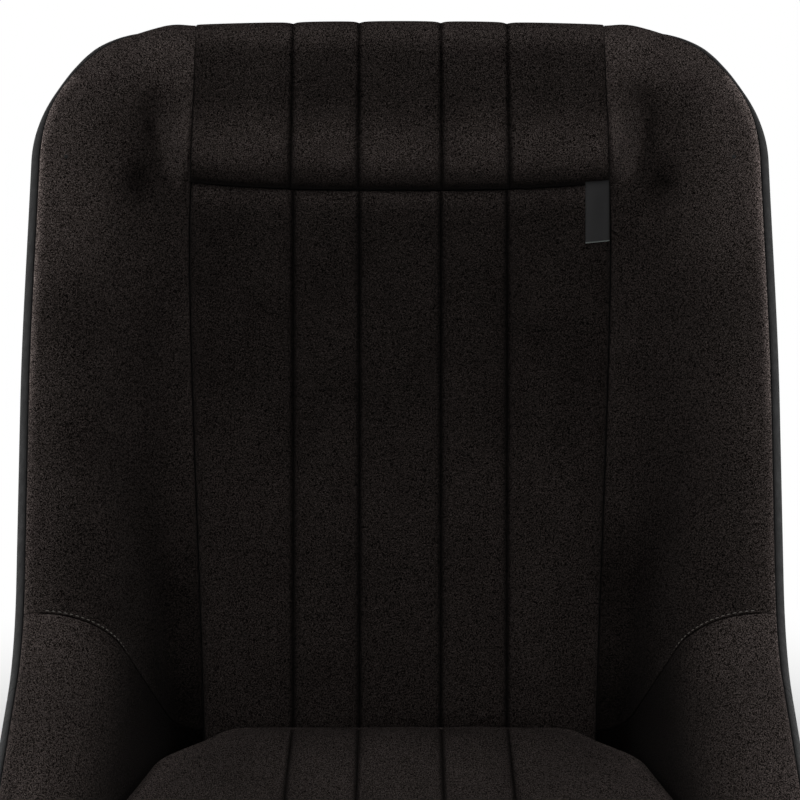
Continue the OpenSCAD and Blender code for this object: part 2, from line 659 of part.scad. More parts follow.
// ---- Lift-out cushion ----------------------------------------------------------------------
// Its back follows the bend of the seat, and its sides stand beside the base padding.
bend_mid_z = face_z + bend_r;
back_clear = flute_h + cushion_gap;
cushion_back_f = pan_back_f - (bend_r - back_clear) * 0.985;
cushion_front_f = pan_back_f + pan_len + lip_r * sin(lip_turn) - 12;
function cushion_back(z) =
  let (r = bend_r - back_clear, d = max(0, min(r, bend_mid_z - z)))
  z > bend_mid_z - r ? pan_back_f - sqrt(max(0, r * r - d * d)) : pan_back_f + cushion_gap;
function cushion_top(f) =
  pan_z + mix(cushion_h_back, cushion_h_front, (f - cushion_back_f) / (cushion_front_f - cushion_back_f));
cushion_top_z = pan_z + cushion_h_back;
lean_start = 30;
lean_low = face_z + foot_r[1] / 3;
lean_from = cushion_back_f + lean_start;
function cushion_side(f, z) =
  foot_x(s_pan + max(0, f - pan_back_f)) - cushion_gap
  + cushion_lean * ease((f - lean_from) / lean_len) * clamp01((z - lean_low) / (cushion_top_z - lean_low));
cushion_half = cushion_side(0, cushion_top_z);
// Place across the cushion at q (-1 to 1) where its half width is w; the flutes keep their width
function cushion_x(q, w) =
  let (edge = flute_x_outer / cushion_half, a = abs(q))
  sign(q) * (a <= edge ? a * cushion_half : mix(flute_x_outer, w, (a - edge) / (1 - edge)));
plan_corner = [26, 44];
// Point of the plan at q across and p along (0 at the back, 1 at the front), drawn in by inset
function plan(q, p, z, inset) =
  let (
    fa = cushion_back(z) + inset, fb = cushion_front_f - inset,
    f0 = mix(fa, fb, p), w = cushion_side(f0, z) - inset, x = cushion_x(q, w),
    near_back = p < 0.5, r = (near_back ? plan_corner[0] : plan_corner[1]) - inset / 2,
    depth = near_back ? r - (f0 - fa) : r - (fb - f0),
    a = (abs(x) - (w - r)) / r, b = depth / r
  )
  a <= 0 || b <= 0 ? [x, f0] :
  [sign(q) * (w - r + r * a * sqrt(1 - b * b / 2)),
   f0 + (near_back ? 1 : -1) * depth * (1 - sqrt(1 - a * a / 2))];

cushion_ps = [0, 0.04, 0.1, 0.25, 0.42, 0.6, 0.77, 0.9, 0.96, 1];
crown = 5;
function cushion_qs() = [for (x = panel_xs(cushion_half)) x / cushion_half];
// Edge rings: drawn in by inset and lowered by drop, the last ones down the sides
edge_steps = 3;
side_steps = 3;
side_swell = 1;
function ring_inset(k, t) =
  k <= edge_steps ? t + (cushion_edge_r - t) * (1 - sin(90 * k / edge_steps)) :
  t - (side_swell * sin(180 * (k - edge_steps) / side_steps)) + (k == edge_steps + side_steps ? 1.5 : 0);
function ring_z(k, z, low) =
  k <= edge_steps ? z - cushion_edge_r * (1 - cos(90 * k / edge_steps)) :
  mix(z - cushion_edge_r, low, (k - edge_steps) / side_steps);
// Top of the shell along its middle line
function shell_top_z(f) =
  let (r = lip_r + shell_in, d = max(0, f - pan_back_f - pan_len)) pan_z + r - sqrt(r * r - d * d);

module cushion_solid(t_out, t_in, fluted) {
  rows = len(cushion_ps);
  qs = cushion_qs();
  cols = len(qs);
  route = border(rows, cols);
  rings = edge_steps + side_steps;
  n = len(route);
  start = rows * cols;
  function top_point(p, q, t, relief) =
    let (
      c = plan(q, p, cushion_top_z, cushion_edge_r), fade = sqrt(clamp01(min(p, 1 - p) / 0.1)),
      swell = relief ? flute(q * cushion_half, cushion_half, flute_h * 0.8) * sqrt(max(0, 1 - pow(q, 12))) : 0
    )
    [c[0], -c[1], cushion_top(c[1]) - t + fade * (crown * (1 - q * q) + swell)];
  function side_point(place, k, t) =
    let (
      p = cushion_ps[place[0]], q = qs[place[1]],
      c0 = plan(q, p, cushion_top_z, cushion_edge_r),
      z = ring_z(k, cushion_top(c0[1]) - t, shell_top_z(c0[1] + cushion_edge_r) + 2 * fit_gap),
      c = plan(q, p, z, ring_inset(k, t))
    )
    [c[0], -c[1], z];
  function surface_points(t, relief) = concat(
    [for (p = cushion_ps, q = qs) top_point(p, q, t, relief)],
    [for (k = [1:rings], place = route) side_point(place, k, t)]
  );
  slab(
    surface_points(t_out, fluted), surface_points(t_in, false),
    concat(
      grid_faces(rows, cols),
      ring_faces(indices(route, cols), start, rings, true, [for (p = route) 1])
    ),
    [for (i = [0:n - 1]) start + (rings - 1) * n + i]
  );
}
module cushion_cover() color(cloth_color)
  cushion_solid(0, cushion_cover_t, true);

// Solid of stacked loops with flat ends
module stack(loops) {
  n = len(loops[0]);
  m = len(loops);
  middle = m * n;
  function centre(loop) = [for (k = [0:2]) [for (p = loop) p[k]] * [for (p = loop) 1] / len(loop)];
  polyhedron(
    points = concat(flat(loops), [centre(loops[0]), centre(loops[m - 1])]),
    faces = concat(
      [for (k = [0:m - 2], i = [0:n - 1])
        let (a = k * n + i, b = k * n + (i + 1) % n)
        each [[a, b, b + n], [a, b + n, a + n]]],
      [for (i = [0:n - 1]) [middle, (i + 1) % n, i]],
      [for (i = [0:n - 1]) [middle + 1, (m - 1) * n + i, (m - 1) * n + (i + 1) % n]]
    )
  );
}
foam_inset = cushion_cover_t + foam_gap;
foam_low = pan_z + fit_gap + board_t + fit_gap;
cushion_edge = let (qs = cushion_qs())
  [for (p = border(len(cushion_ps), len(qs))) [qs[p[1]], cushion_ps[p[0]]]];
// Loop of the foam at share t of its height
function foam_loop(t, inset) = [for (r = cushion_edge)
  let (
    top = cushion_top(plan(r[0], r[1], cushion_top_z, cushion_edge_r)[1]) - foam_inset,
    z = mix(foam_low, top, t), c = plan(r[0], r[1], z, inset)
  )
  [c[0], -c[1], z]];
foam_levels = [[0, 1.5], [0.45, 0], [0.8, 0], [0.93, 5], [1, 16]];
module cushion_foam() color(foam_color)
  stack([for (l = foam_levels) foam_loop(l[0], foam_inset + l[1])]);

// Hook-and-loop strips in a shallow groove under the board hold the cushion down
strip_x = 60;
strip_ends = [-110, 110];
module strips(z) {
  for (x = [-strip_x, strip_x])
    translate([x - strip_size[0] / 2, strip_ends[0], z])
      cube([strip_size[0], strip_ends[1] - strip_ends[0], strip_size[1]]);
}
module shell_strips() color(plastic_color) strips(pan_z);
module cushion_strips() color(plastic_color) strips(pan_z + strip_size[1] + fit_gap / 3);

board_front_f = pan_back_f + pan_len;
module cushion_board() color(wood_color) {
  groove = 2 * strip_size[1] + fit_gap / 3;
  outline = [for (r = cushion_edge)
    let (c = plan(r[0], r[1], pan_z, foam_inset + cushion_gap)) [c[0], -min(c[1], board_front_f)]];
  translate([0, 0, pan_z + fit_gap]) difference() {
    linear_extrude(height = board_t) polygon(outline);
    for (p = seat_holes) translate([p[0], p[1], -1]) cylinder(h = board_t + 2, d = board_hole_d, $fn = 64);
    translate([0, 0, -fit_gap]) for (x = [-strip_x, strip_x])
      translate([x - strip_size[0] / 2 - fit_gap, strip_ends[0] - fit_gap, 0])
        cube([strip_size[0] + 2 * fit_gap, strip_ends[1] - strip_ends[0] + 2 * fit_gap, groove]);
  }
}

// ---- Runners -------------------------------------------------------------------------------
module at_runner(side) {
  translate([side * runner_spacing / 2, 0, 0]) children();
}
// Solid of one section along a rail
module along_rail(length) {
  translate([0, length / 2, 0]) rotate([90, 0, 0]) linear_extrude(height = length) children();
}
lower_in = lower_w / 2 - rail_t;
slot_in = lower_w / 2 - lip_w - rail_t / 2;
flange_z = rail_t + 2 * (ball_r + ball_gap);
flange_top = flange_z + rail_t;
ball_z = (flange_top + lower_h - rail_t) / 2;
ball_x = (upper_w / 2 + lower_in) / 2;
comb_z = pivot_z;
comb_mid = pivot_y + tail_len;
comb_len = 2 * travel + 3 * comb_pitch;
tooth_w = notch_w - 1;

// side is 1 for the left rail, on +X, and -1 for the right one; the comb is on the inner side
module lower_rail(side) color(steel_color) at_runner(side) difference() {
  union() {
    along_rail(lower_len) difference() {
      translate([-lower_w / 2, 0]) square([lower_w, lower_h]);
      translate([-lower_in, rail_t]) square([2 * lower_in, lower_h - 2 * rail_t]);
      translate([-slot_in, rail_t]) square([2 * slot_in, lower_h]);
    }
    comb(side);
  }
  for (y = [-1, 1])
    translate([0, y * floor_bolt_pitch / 2, -1]) cylinder(h = rail_t + 2, d = floor_hole_d, $fn = 48);
}
module comb(side) {
  inner = side * -lower_w / 2;
  depth = comb_w - 1.5;
  notch_x = side > 0 ? inner - comb_w - eps : inner + comb_w - depth + eps;
  difference() {
    translate([side > 0 ? inner - comb_w : inner - eps, comb_mid - comb_len / 2, comb_z])
      cube([comb_w + eps, comb_len, rail_t]);
    for (i = [-floor(comb_len / comb_pitch / 2) + 1:floor(comb_len / comb_pitch / 2) - 1])
      translate([notch_x, comb_mid + i * comb_pitch - notch_w / 2, comb_z - 1])
        cube([depth, notch_w, rail_t + 2]);
  }
}

module upper_rail(side) color(steel_color) at_runner(side) difference() {
  along_rail(upper_len) {
    for (m = [0, 1]) mirror([m, 0]) {
      translate([upper_w / 2 - rail_t, flange_z]) square([rail_t, upper_top - flange_z]);
      translate([upper_w / 2 - rail_t, flange_z]) square([flange_w / 2 - upper_w / 2 + rail_t, rail_t]);
    }
    translate([-upper_w / 2, upper_top - rail_t]) square([upper_w, rail_t]);
  }
  for (y = [-1, 1]) translate([0, y * seat_bolt_pitch / 2, upper_top - rail_t - 1])
    cylinder(h = rail_t + 2, r = seat_hole_r, $fn = 48);
}

ball_pitch = 60;
ball_row = [-1, 0, 1];
cage_t = 1.6;
cage_gap = 0.6;
module balls(side) color(zinc_color) at_runner(side)
  for (m = [-1, 1], k = ball_row)
    translate([m * ball_x, k * ball_pitch, ball_z]) sphere(r = ball_r, $fn = 48);
module ball_cage(side) color(plastic_color) at_runner(side) {
  w = lower_in - upper_w / 2 - 2 * cage_gap;
  for (m = [-1, 1]) translate([m * ball_x, 0, ball_z - cage_t / 2]) difference() {
    translate([-w / 2, -1.2 * ball_pitch, 0]) cube([w, 2.4 * ball_pitch, cage_t]);
    for (k = ball_row)
      translate([0, k * ball_pitch, -1]) cylinder(h = cage_t + 2, r = ball_r + ball_gap, $fn = 48);
  }
}
roller_z = rail_t + ball_r + ball_gap;
roller_len = flange_w - 1;
roller_pitch = 100;
module rollers(side) color(zinc_color) at_runner(side)
  for (k = [-1, 1]) translate([-roller_len / 2, k * roller_pitch / 2, roller_z]) rotate([0, 90, 0])
    cylinder(h = roller_len, r = ball_r, $fn = 48);
module roller_cage(side) color(plastic_color) at_runner(side) {
  w = 2 * lower_in - 2 * cage_gap;
  translate([0, 0, roller_z - cage_t / 2]) difference() {
    translate([-w / 2, -0.6 * roller_pitch, 0]) cube([w, 1.2 * roller_pitch, cage_t]);
    for (k = [-1, 1]) translate([-roller_len / 2 - ball_gap, k * roller_pitch / 2 - ball_r - ball_gap, -1])
      cube([roller_len + 2 * ball_gap, 2 * (ball_r + ball_gap), cage_t + 2]);
    translate([-w / 2 + 6, -roller_pitch / 2 + 2 * ball_r, -1])
      cube([w - 12, roller_pitch - 4 * ball_r, cage_t + 2]);
  }
}

// ---- Release bar ---------------------------------------------------------------------------
// The bar turns on two pins. Its handle lifts, its tail drops and the teeth leave the combs.
comb_in_x = runner_spacing / 2 - lower_w / 2 - comb_w;
leg_x = comb_in_x - 1.5 - plate_t;
arm_x = leg_x - 0.5 - plate_t;
bracket_front = 2 * seat_bolt_d;
bracket_side = 1.5 * seat_bolt_d;
ear_half = 14;
bracket_y = [front_bolt_y - bracket_front, pivot_y + ear_half + bracket_side];
spring_shelf = 10;
spring_x = arm_x - 5;
spring_y = pivot_y + 20;
tab_z = pivot_z + 2;
arm_h = 14;
module bracket() color(zinc_color) difference() {
  union() {
    translate([arm_x - spring_shelf, bracket_y[0], upper_top])
      cube([runner_spacing / 2 + bracket_side - arm_x + spring_shelf, bracket_y[1] - bracket_y[0], plate_t]);
    hull() {
      translate([leg_x, pivot_y - ear_half, upper_top]) cube([plate_t, 2 * ear_half, plate_t]);
      translate([leg_x, pivot_y, pivot_z]) rotate([0, 90, 0])
        cylinder(h = plate_t, r = arm_h / 2 + 1, $fn = 32);
    }
  }
  translate([runner_spacing / 2, front_bolt_y, upper_top - 1])
    cylinder(h = plate_t + 2, r = seat_hole_r, $fn = 48);
  translate([leg_x - 1, pivot_y, pivot_z]) rotate([0, 90, 0])
    cylinder(h = plate_t + 2, d = pivot_d, $fn = 48);
}

clip_x = arm_x - 0.4;
clip_t = 1;
pin_end = clip_x - clip_t - 1.4;
groove_depth = 1;
module pin() {
  length = leg_x + plate_t - pin_end;
  translate([pin_end, pivot_y, pivot_z]) rotate([0, 90, 0]) difference() {
    cylinder(h = length, d = pivot_d, $fn = 48);
    translate([0, 0, clip_x - clip_t - pin_end - ball_gap]) difference() {
      cylinder(h = clip_t + 2 * ball_gap, d = pivot_d + 1, $fn = 48);
      translate([0, 0, -1]) cylinder(h = clip_t + 3, d = pivot_d - 2 * groove_depth, $fn = 48);
    }
  }
}
module clip() {
  translate([clip_x - clip_t, pivot_y, pivot_z]) rotate([0, 90, 0]) difference() {
    cylinder(h = clip_t, d = pivot_d + 6, $fn = 48);
    translate([0, 0, -1]) cylinder(h = clip_t + 2, d = pivot_d - 2 * groove_depth + 0.1, $fn = 48);
    translate([0, -pivot_d / 2 + groove_depth, -1]) cube([pivot_d, pivot_d - 2 * groove_depth, clip_t + 2]);
  }
}
module both_sides() {
  children();
  mirror([1, 0, 0]) children();
}
module pivot_pins() color(zinc_color) both_sides() pin();
module pin_clips() color(steel_color) both_sides() clip();

pivot_gap = 0.05;
tooth_tab_z = pivot_z - arm_h / 2;
module arm() {
  difference() {
    union() {
      translate([arm_x, pivot_y - bar_reach, pivot_z - bar_d / 2]) cube([plate_t, bar_reach, bar_d]);
      translate([arm_x, pivot_y, pivot_z - arm_h / 2]) cube([plate_t, tail_len + tooth_w / 2 + 2, arm_h - 2]);
      translate([arm_x, pivot_y, pivot_z]) rotate([0, 90, 0]) cylinder(h = plate_t, r = arm_h / 2, $fn = 48);
      translate([arm_x, comb_mid - tooth_w / 2 - 2, tooth_tab_z])
        cube([comb_in_x + comb_w - 1 - arm_x, tooth_w + 4, plate_t]);
      translate([comb_in_x + 1, comb_mid - tooth_w / 2, tooth_tab_z])
        cube([comb_w - 3.2, tooth_w, comb_z - 2 * fit_gap - tooth_tab_z]);
      translate([spring_x - 4, spring_y - 5, tab_z - plate_t])
        cube([arm_x - spring_x + 4 + eps, 10, plate_t]);
    }
    translate([arm_x - 1, pivot_y, pivot_z]) rotate([0, 90, 0])
      cylinder(h = plate_t + 2, r = pivot_d / 2 + pivot_gap, $fn = 48);
  }
}
module release_bar() color(steel_color) {
  both_sides() arm();
  translate([-arm_x - plate_t, pivot_y - bar_reach, pivot_z]) rotate([0, 90, 0])
    cylinder(h = 2 * (arm_x + plate_t), d = bar_d, $fn = 48);
}
grip_len = 110;
grip_t = 3;
module bar_grip() color(plastic_color)
  translate([-grip_len / 2, pivot_y - bar_reach, pivot_z]) rotate([0, 90, 0]) difference() {
    cylinder(h = grip_len, d = bar_d + 2 * grip_t, $fn = 48);
    translate([0, 0, -1]) cylinder(h = grip_len + 2, d = bar_d, $fn = 48);
  }

// Tension springs from the tails up to the brackets
spring_r = 2.6;
spring_wire = 1.2;
spring_curls = 4;
curl_rings = 8;
// Ring of a tube at place i of a path
function tube_ring(path, i, r, sides) =
  let (
    d = unit(path[min(i + 1, last(path))] - path[max(i - 1, 0)]), level = cross([0, 0, 1], d),
    side = norm(level) > 0.3 ? unit(level) : [0, 1, 0], up = cross(d, side)
  )
  [for (k = [0:sides - 1]) path[i] + r * (cos(360 * k / sides) * side + sin(360 * k / sides) * up)];
spring_base = tab_z + 2 * ball_gap;
spring_top = upper_top - 2 * ball_gap;
spring_lead = 2 * spring_wire;
spring_turns = (spring_curls + 0.5) * curl_rings;
spring_coil = [for (i = [0:spring_turns])
  let (a = 360 * i / curl_rings)
  [spring_r * cos(a), spring_r * sin(a),
   mix(spring_base + spring_lead, spring_top - spring_lead, i / spring_turns)]];
spring_path = concat(
  [[0, 0, spring_base], [0, 0, spring_base + spring_wire],
   [spring_r / 2, 0, spring_base + 1.8 * spring_wire]],
  spring_coil,
  [[-spring_r / 2, 0, spring_top - 1.8 * spring_wire], [0, 0, spring_top - spring_wire], [0, 0, spring_top]]
);
// Least gap between curls, measured between points at least half a curl apart
spring_gap = min([for (i = [0:last(spring_path) - curl_rings / 2], j = [i + curl_rings / 2:last(spring_path)])
  norm(spring_path[i] - spring_path[j])]) - spring_wire;
echo(str("Least gap of the return springs to themselves: ", spring_gap, " mm"));
module return_springs() color(zinc_color) both_sides() translate([spring_x, spring_y, 0])
  stack([for (i = [0:last(spring_path)]) tube_ring(spring_path, i, spring_wire / 2, 6)]);

seat_shell();
rear_cover();
base_side_cover();  // base_side_cover_left
mirror([1, 0, 0]) base_side_cover();  // base_side_cover_right
back_foam();
back_panel();
shoulder_roll();
wing_cover();  // wing_cover_left
mirror([1, 0, 0]) wing_cover();  // wing_cover_right
base_wing();  // base_wing_left
mirror([1, 0, 0]) base_wing();  // base_wing_right
base_foam();  // base_foam_left
mirror([1, 0, 0]) base_foam();  // base_foam_right
label_tab();
nut_plates();
seat_bolts();
rear_spacers();
cushion_board();
cushion_foam();
cushion_cover();
cushion_strips();
shell_strips();
lower_rail(1);  // lower_rail_left
lower_rail(-1);  // lower_rail_right
upper_rail(1);  // upper_rail_left
upper_rail(-1);  // upper_rail_right
balls(1);  // balls_left
balls(-1);  // balls_right
ball_cage(1);  // ball_cage_left
ball_cage(-1);  // ball_cage_right
rollers(1);  // rollers_left
rollers(-1);  // rollers_right
roller_cage(1);  // roller_cage_left
roller_cage(-1);  // roller_cage_right
bracket();  // bracket_left
mirror([1, 0, 0]) bracket();  // bracket_right
pivot_pins();
pin_clips();
release_bar();
bar_grip();
return_springs();
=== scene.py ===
import json
import math
import bpy
import bmesh
import numpy as np
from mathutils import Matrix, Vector


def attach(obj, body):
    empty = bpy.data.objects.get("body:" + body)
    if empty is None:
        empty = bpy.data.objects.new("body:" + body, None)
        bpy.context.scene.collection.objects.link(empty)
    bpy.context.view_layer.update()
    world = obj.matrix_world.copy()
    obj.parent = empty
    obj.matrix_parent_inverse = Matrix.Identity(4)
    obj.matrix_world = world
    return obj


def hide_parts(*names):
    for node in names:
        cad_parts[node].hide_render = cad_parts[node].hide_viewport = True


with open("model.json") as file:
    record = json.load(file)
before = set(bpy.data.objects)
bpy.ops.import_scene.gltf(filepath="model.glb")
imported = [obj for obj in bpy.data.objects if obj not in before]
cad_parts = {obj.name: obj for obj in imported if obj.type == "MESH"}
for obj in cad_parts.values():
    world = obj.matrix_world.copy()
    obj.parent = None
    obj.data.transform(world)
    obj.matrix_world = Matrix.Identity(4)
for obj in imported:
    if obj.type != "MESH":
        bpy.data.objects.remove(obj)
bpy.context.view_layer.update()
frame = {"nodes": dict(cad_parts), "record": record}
nodes = frame["nodes"]

# ---- The padded face of the seat, in millimetres, as in the part's source ----------------------
# s is the distance down the middle from the crest, u the place across: -1 to 1 is the panel,
# and 1 to 2 a wing from its foot to the rim. The front of the seat looks along -Y.
OVERALL_W, BACK_LEN, BACK_LEAN, BEND_R, PAN_LEN = 530.0, 471.0, math.radians(16.5), 70.0, 330.0
LIP_R, LIP_TURN, CORNER_R, SHOULDER_IN, FRONT_CORNER_R, RIM_R = 120.0, math.radians(18), 96.0, 5.0, 90.0, 18.0
RISE_TOP, RISE_HIP, RISE_FRONT, HIP_REACH, HIP_R = 14.0, 138.0, 50.0, 12.0, 95.0
FOOT_R, CROWN_R = (40.0, 25.0), (45.0, 60.0, 40.0)
SHELL_T, SKIN_T, COVER_T, GAP = 5.0, 1.2, 10.0, 0.3
FLUTE_H, SEAM_DEPTH, FLUTE_IN, FLUTE_OUT = 6.0, 2.0, 29.0, 76.0
ROLL_LEN, ROLL_H = 95.0, 24.0
SEAM_RIM, SEAM_FOOT = 478.0, 480.0
CREST_X = OVERALL_W / 2 - RIM_R
TOP_X = CREST_X - 102.0
TOP_CORNER, FRONT_CORNER = CORNER_R - RIM_R, FRONT_CORNER_R - RIM_R
SHELL_IN = 2 * RIM_R - SKIN_T - GAP - SHELL_T
SHELL_OUT = SHELL_IN + SHELL_T
SKIN_IN = SHELL_OUT + GAP
SKIN_OUT = SKIN_IN + SKIN_T
SHELL_FLOOR = 32.0 + 2.5
FACE_Z = SHELL_FLOOR + SHELL_OUT
PAN_Z = SHELL_FLOOR + SHELL_T
PAN_BACK = -PAN_LEN / 2
S_BEND = BACK_LEN
S_PAN = S_BEND + BEND_R * (math.pi / 2 - BACK_LEAN)
S_LIP = S_PAN + PAN_LEN
S_END = S_LIP + LIP_R * LIP_TURN
BEND_F = PAN_BACK - BEND_R * math.cos(BACK_LEAN)
BEND_Z = FACE_Z + BEND_R * (1 - math.sin(BACK_LEAN))
FOOT_KEYS = ((0, TOP_X), (0.3 * BACK_LEN, CREST_X - 97), (S_BEND, CREST_X - 107), (S_PAN, CREST_X - 107),
             (S_PAN + PAN_LEN / 2, CREST_X - 81), (S_END, CREST_X - 81))
CROWN_KEYS = ((0, CROWN_R[0]), (S_PAN, CROWN_R[1]), (S_END, CROWN_R[2]))


def mix(a, b, t):
    return a + (b - a) * t


def clamp(t):
    return np.clip(t, 0.0, 1.0)


def ease(t):
    c = clamp(t)
    return c * c * (3 - 2 * c)


def unit(v):
    return v / np.maximum(np.linalg.norm(v, axis=-1, keepdims=True), 1e-12)


def through(keys, s):
    """Smooth curve through (place, value) keys."""
    s = np.asarray(s, float)
    p = np.array([k[0] for k in keys], float)
    v = np.array([k[1] for k in keys], float)
    m = np.zeros(len(p))
    m[1:-1] = (v[2:] - v[:-2]) / (p[2:] - p[:-2])
    i = np.clip(np.searchsorted(p, s, side="left") - 1, 0, len(p) - 2)
    w = p[i + 1] - p[i]
    t = clamp((s - p[i]) / w)
    return ((1 + 2 * t) * (1 - t) ** 2 * v[i] + t * t * (3 - 2 * t) * v[i + 1]
            + w * (t * (1 - t) ** 2 * m[i] - t * t * (1 - t) * m[i + 1]))


def foot_x(s):
    return through(FOOT_KEYS, s)


def rim_x(s):
    return CREST_X - SHOULDER_IN * (1 - ease(s / (0.6 * BACK_LEN)))


def spine(s):
    """Forward place and height of the middle line."""
    s = np.asarray(s, float)
    a, b = (S_PAN - s) / BEND_R, (s - S_LIP) / LIP_R
    f = np.where(s <= S_BEND, BEND_F - (S_BEND - s) * np.sin(BACK_LEAN),
                 np.where(s <= S_PAN, PAN_BACK - BEND_R * np.sin(a),
                          np.where(s <= S_LIP, PAN_BACK + s - S_PAN, PAN_BACK + PAN_LEN + LIP_R * np.sin(b))))
    z = np.where(s <= S_BEND, BEND_Z + (S_BEND - s) * np.cos(BACK_LEAN),
                 np.where(s <= S_PAN, FACE_Z + BEND_R * (1 - np.cos(a)),
                          np.where(s <= S_LIP, FACE_Z, FACE_Z + LIP_R * (1 - np.cos(b)))))
    return np.stack([f, z], -1)


EDGE_A = spine(0.0) + RISE_TOP * np.array([math.cos(BACK_LEAN), math.sin(BACK_LEAN)])
EDGE_B = np.array([PAN_BACK + HIP_REACH, FACE_Z + RISE_HIP])
EDGE_C = spine(S_END) + np.array([0.0, RISE_FRONT])
DIR_A, DIR_C = unit(EDGE_B - EDGE_A), unit(EDGE_C - EDGE_B)
TURN_A = math.atan2(DIR_A[1], DIR_A[0])
HIP_TURN = math.atan2(DIR_C[1], DIR_C[0]) - TURN_A
STRAIGHT_A = np.linalg.norm(EDGE_B - EDGE_A) - HIP_R * math.tan(HIP_TURN / 2)
STRAIGHT_C = np.linalg.norm(EDGE_C - EDGE_B) - HIP_R * math.tan(HIP_TURN / 2)
EDGE_LEN = STRAIGHT_A + HIP_R * HIP_TURN + STRAIGHT_C


def wing_edge(s):
    """Forward place and height of the rim's crest beside s."""
    s = np.asarray(s, float)
    e = (s - (S_END - EDGE_LEN) * ease(s / S_END))[..., None]
    a = TURN_A + np.clip((e - STRAIGHT_A) / HIP_R, 0, HIP_TURN)
    arc = EDGE_A + STRAIGHT_A * DIR_A + HIP_R * np.concatenate(
        [np.sin(a) - math.sin(TURN_A), math.cos(TURN_A) - np.cos(a)], -1)
    return np.where(e < STRAIGHT_A, EDGE_A + e * DIR_A,
                    np.where(e > EDGE_LEN - STRAIGHT_C, EDGE_C - (EDGE_LEN - e) * DIR_C, arc))


def rise(s):
    return np.linalg.norm(wing_edge(s) - spine(s), axis=-1)


def section(s):
    """A wing's cut across: foot, rise, rim, two radii, the angle of the wall and its length."""
    x0, h, cx = foot_x(s), rise(s), rim_x(s)
    r1, r2 = mix(FOOT_R[0], FOOT_R[1], ease(s / S_PAN)), through(CROWN_KEYS, s)
    dx, dh = cx - x0, h - r1 - r2
    reach = np.hypot(dx, dh)
    a = np.arctan2(dh, dx) + np.arcsin((r1 + r2) / reach)
    wall = np.sqrt(reach ** 2 - (r1 + r2) ** 2)
    return x0, h, cx, r1, r2, a, wall


def wing_len(s):
    x0, h, cx, r1, r2, a, wall = section(s)
    return (r1 + r2) * a + wall


def across(u, s):
    x0, h, cx, r1, r2, a, wall = section(s)
    w = np.abs(u) - 1
    l1 = r1 * a
    e = w * (l1 + wall + r2 * a)
    t, t2 = e / r1, a - (e - l1 - wall) / r2
    x = np.where(e < l1, x0 + r1 * np.sin(t),
                 np.where(e < l1 + wall, x0 + r1 * np.sin(a) + (e - l1) * np.cos(a), cx - r2 * np.sin(t2)))
    y = np.where(e < l1, r1 * (1 - np.cos(t)),
                 np.where(e < l1 + wall, r1 * (1 - np.cos(a)) + (e - l1) * np.sin(a),
                          h - r2 * (1 - np.cos(t2))))
    return np.where(w <= 0, u * x0, np.sign(u) * x), np.where(w <= 0, 0.0, y)


def rounded(x, s):
    """Moves places near the corners of the outline in, onto their rounding."""
    top = s < TOP_CORNER
    r = np.where(top, TOP_CORNER, FRONT_CORNER)
    depth = np.where(top, TOP_CORNER - s, s - (S_END - FRONT_CORNER))
    cx = rim_x(s)
    a, b = (np.abs(x) - (cx - r)) / r, depth / r
    inside = (a > 0) & (b > 0)
    a, b = np.where(inside, a, 0.0), np.where(inside, b, 0.0)
    x2 = np.sign(x) * (cx - r + r * a * np.sqrt(np.maximum(0, 1 - b * b / 2)))
    s2 = s + np.where(top, 1, -1) * (depth - depth * np.sqrt(np.maximum(0, 1 - a * a / 2)))
    return np.where(inside, x2, x), np.where(inside, s2, s), a * b


def face(u, s):
    u, s = np.broadcast_arrays(np.asarray(u, float), np.asarray(s, float))
    x, s2, k = rounded(across(u, s)[0], s)
    m = spine(s2)
    h = mix(across(u, s2)[1], rise(s2), k)
    p = m + h[..., None] * unit(wing_edge(s2) - m)
    return np.stack([x, -p[..., 0], p[..., 1]], -1)


TIP_U = 1.97                    # beyond this the four corners take the normal from nearby


def face_normal(u, s):
    u, s = np.broadcast_arrays(np.asarray(u, float), np.asarray(s, float))
    tip_top, tip_end = (np.abs(u) > TIP_U) & (s < 3), (np.abs(u) > TIP_U) & (s > S_END - 3)
    tip = tip_top | tip_end
    uu = np.where(tip, np.sign(u) * TIP_U, u)
    ss = np.where(tip_top, 3.0, np.where(tip_end, S_END - 3.0, s))
    ds = face(uu, np.minimum(S_END, ss + 0.6)) - face(uu, np.maximum(0, ss - 0.6))
    du = face(np.minimum(2, uu + 0.004), ss) - face(np.maximum(-2, uu - 0.004), ss)
    return unit(np.cross(ds, du))


def above(u, s, h):
    """Point at height h over the face."""
    return face(u, s) + np.asarray(h, float)[..., None] * face_normal(u, s)


# ---- The rim -------------------------------------------------------------------------------
UNIT_W = CREST_X / 2
WAY_ROUND = 8 * UNIT_W + 2 * S_END
EDGE_STEP = 14.0                # reach over which the rim's direction is averaged


def edge_way(u, s):
    """Distance along the border, from the left end of the crest."""
    return np.where(s <= 0, (u + 2) * UNIT_W,
                    np.where(u >= 2, 4 * UNIT_W + s,
                             np.where(s >= S_END, 4 * UNIT_W + S_END + (2 - u) * UNIT_W,
                                      8 * UNIT_W + 2 * S_END - s)))


def edge_place(way):
    """The u and s at a distance along the border."""
    w = np.mod(way, WAY_ROUND)
    side = w - 4 * UNIT_W
    front = side - S_END
    past = front - 4 * UNIT_W
    u = np.where(side < 0, w / UNIT_W - 2,
                 np.where(front < 0, 2.0, np.where(front < 4 * UNIT_W, 2 - front / UNIT_W, -2.0)))
    s = np.where(side < 0, 0.0,
                 np.where(front < 0, side, np.where(front < 4 * UNIT_W, S_END, S_END - past)))
    return u, s


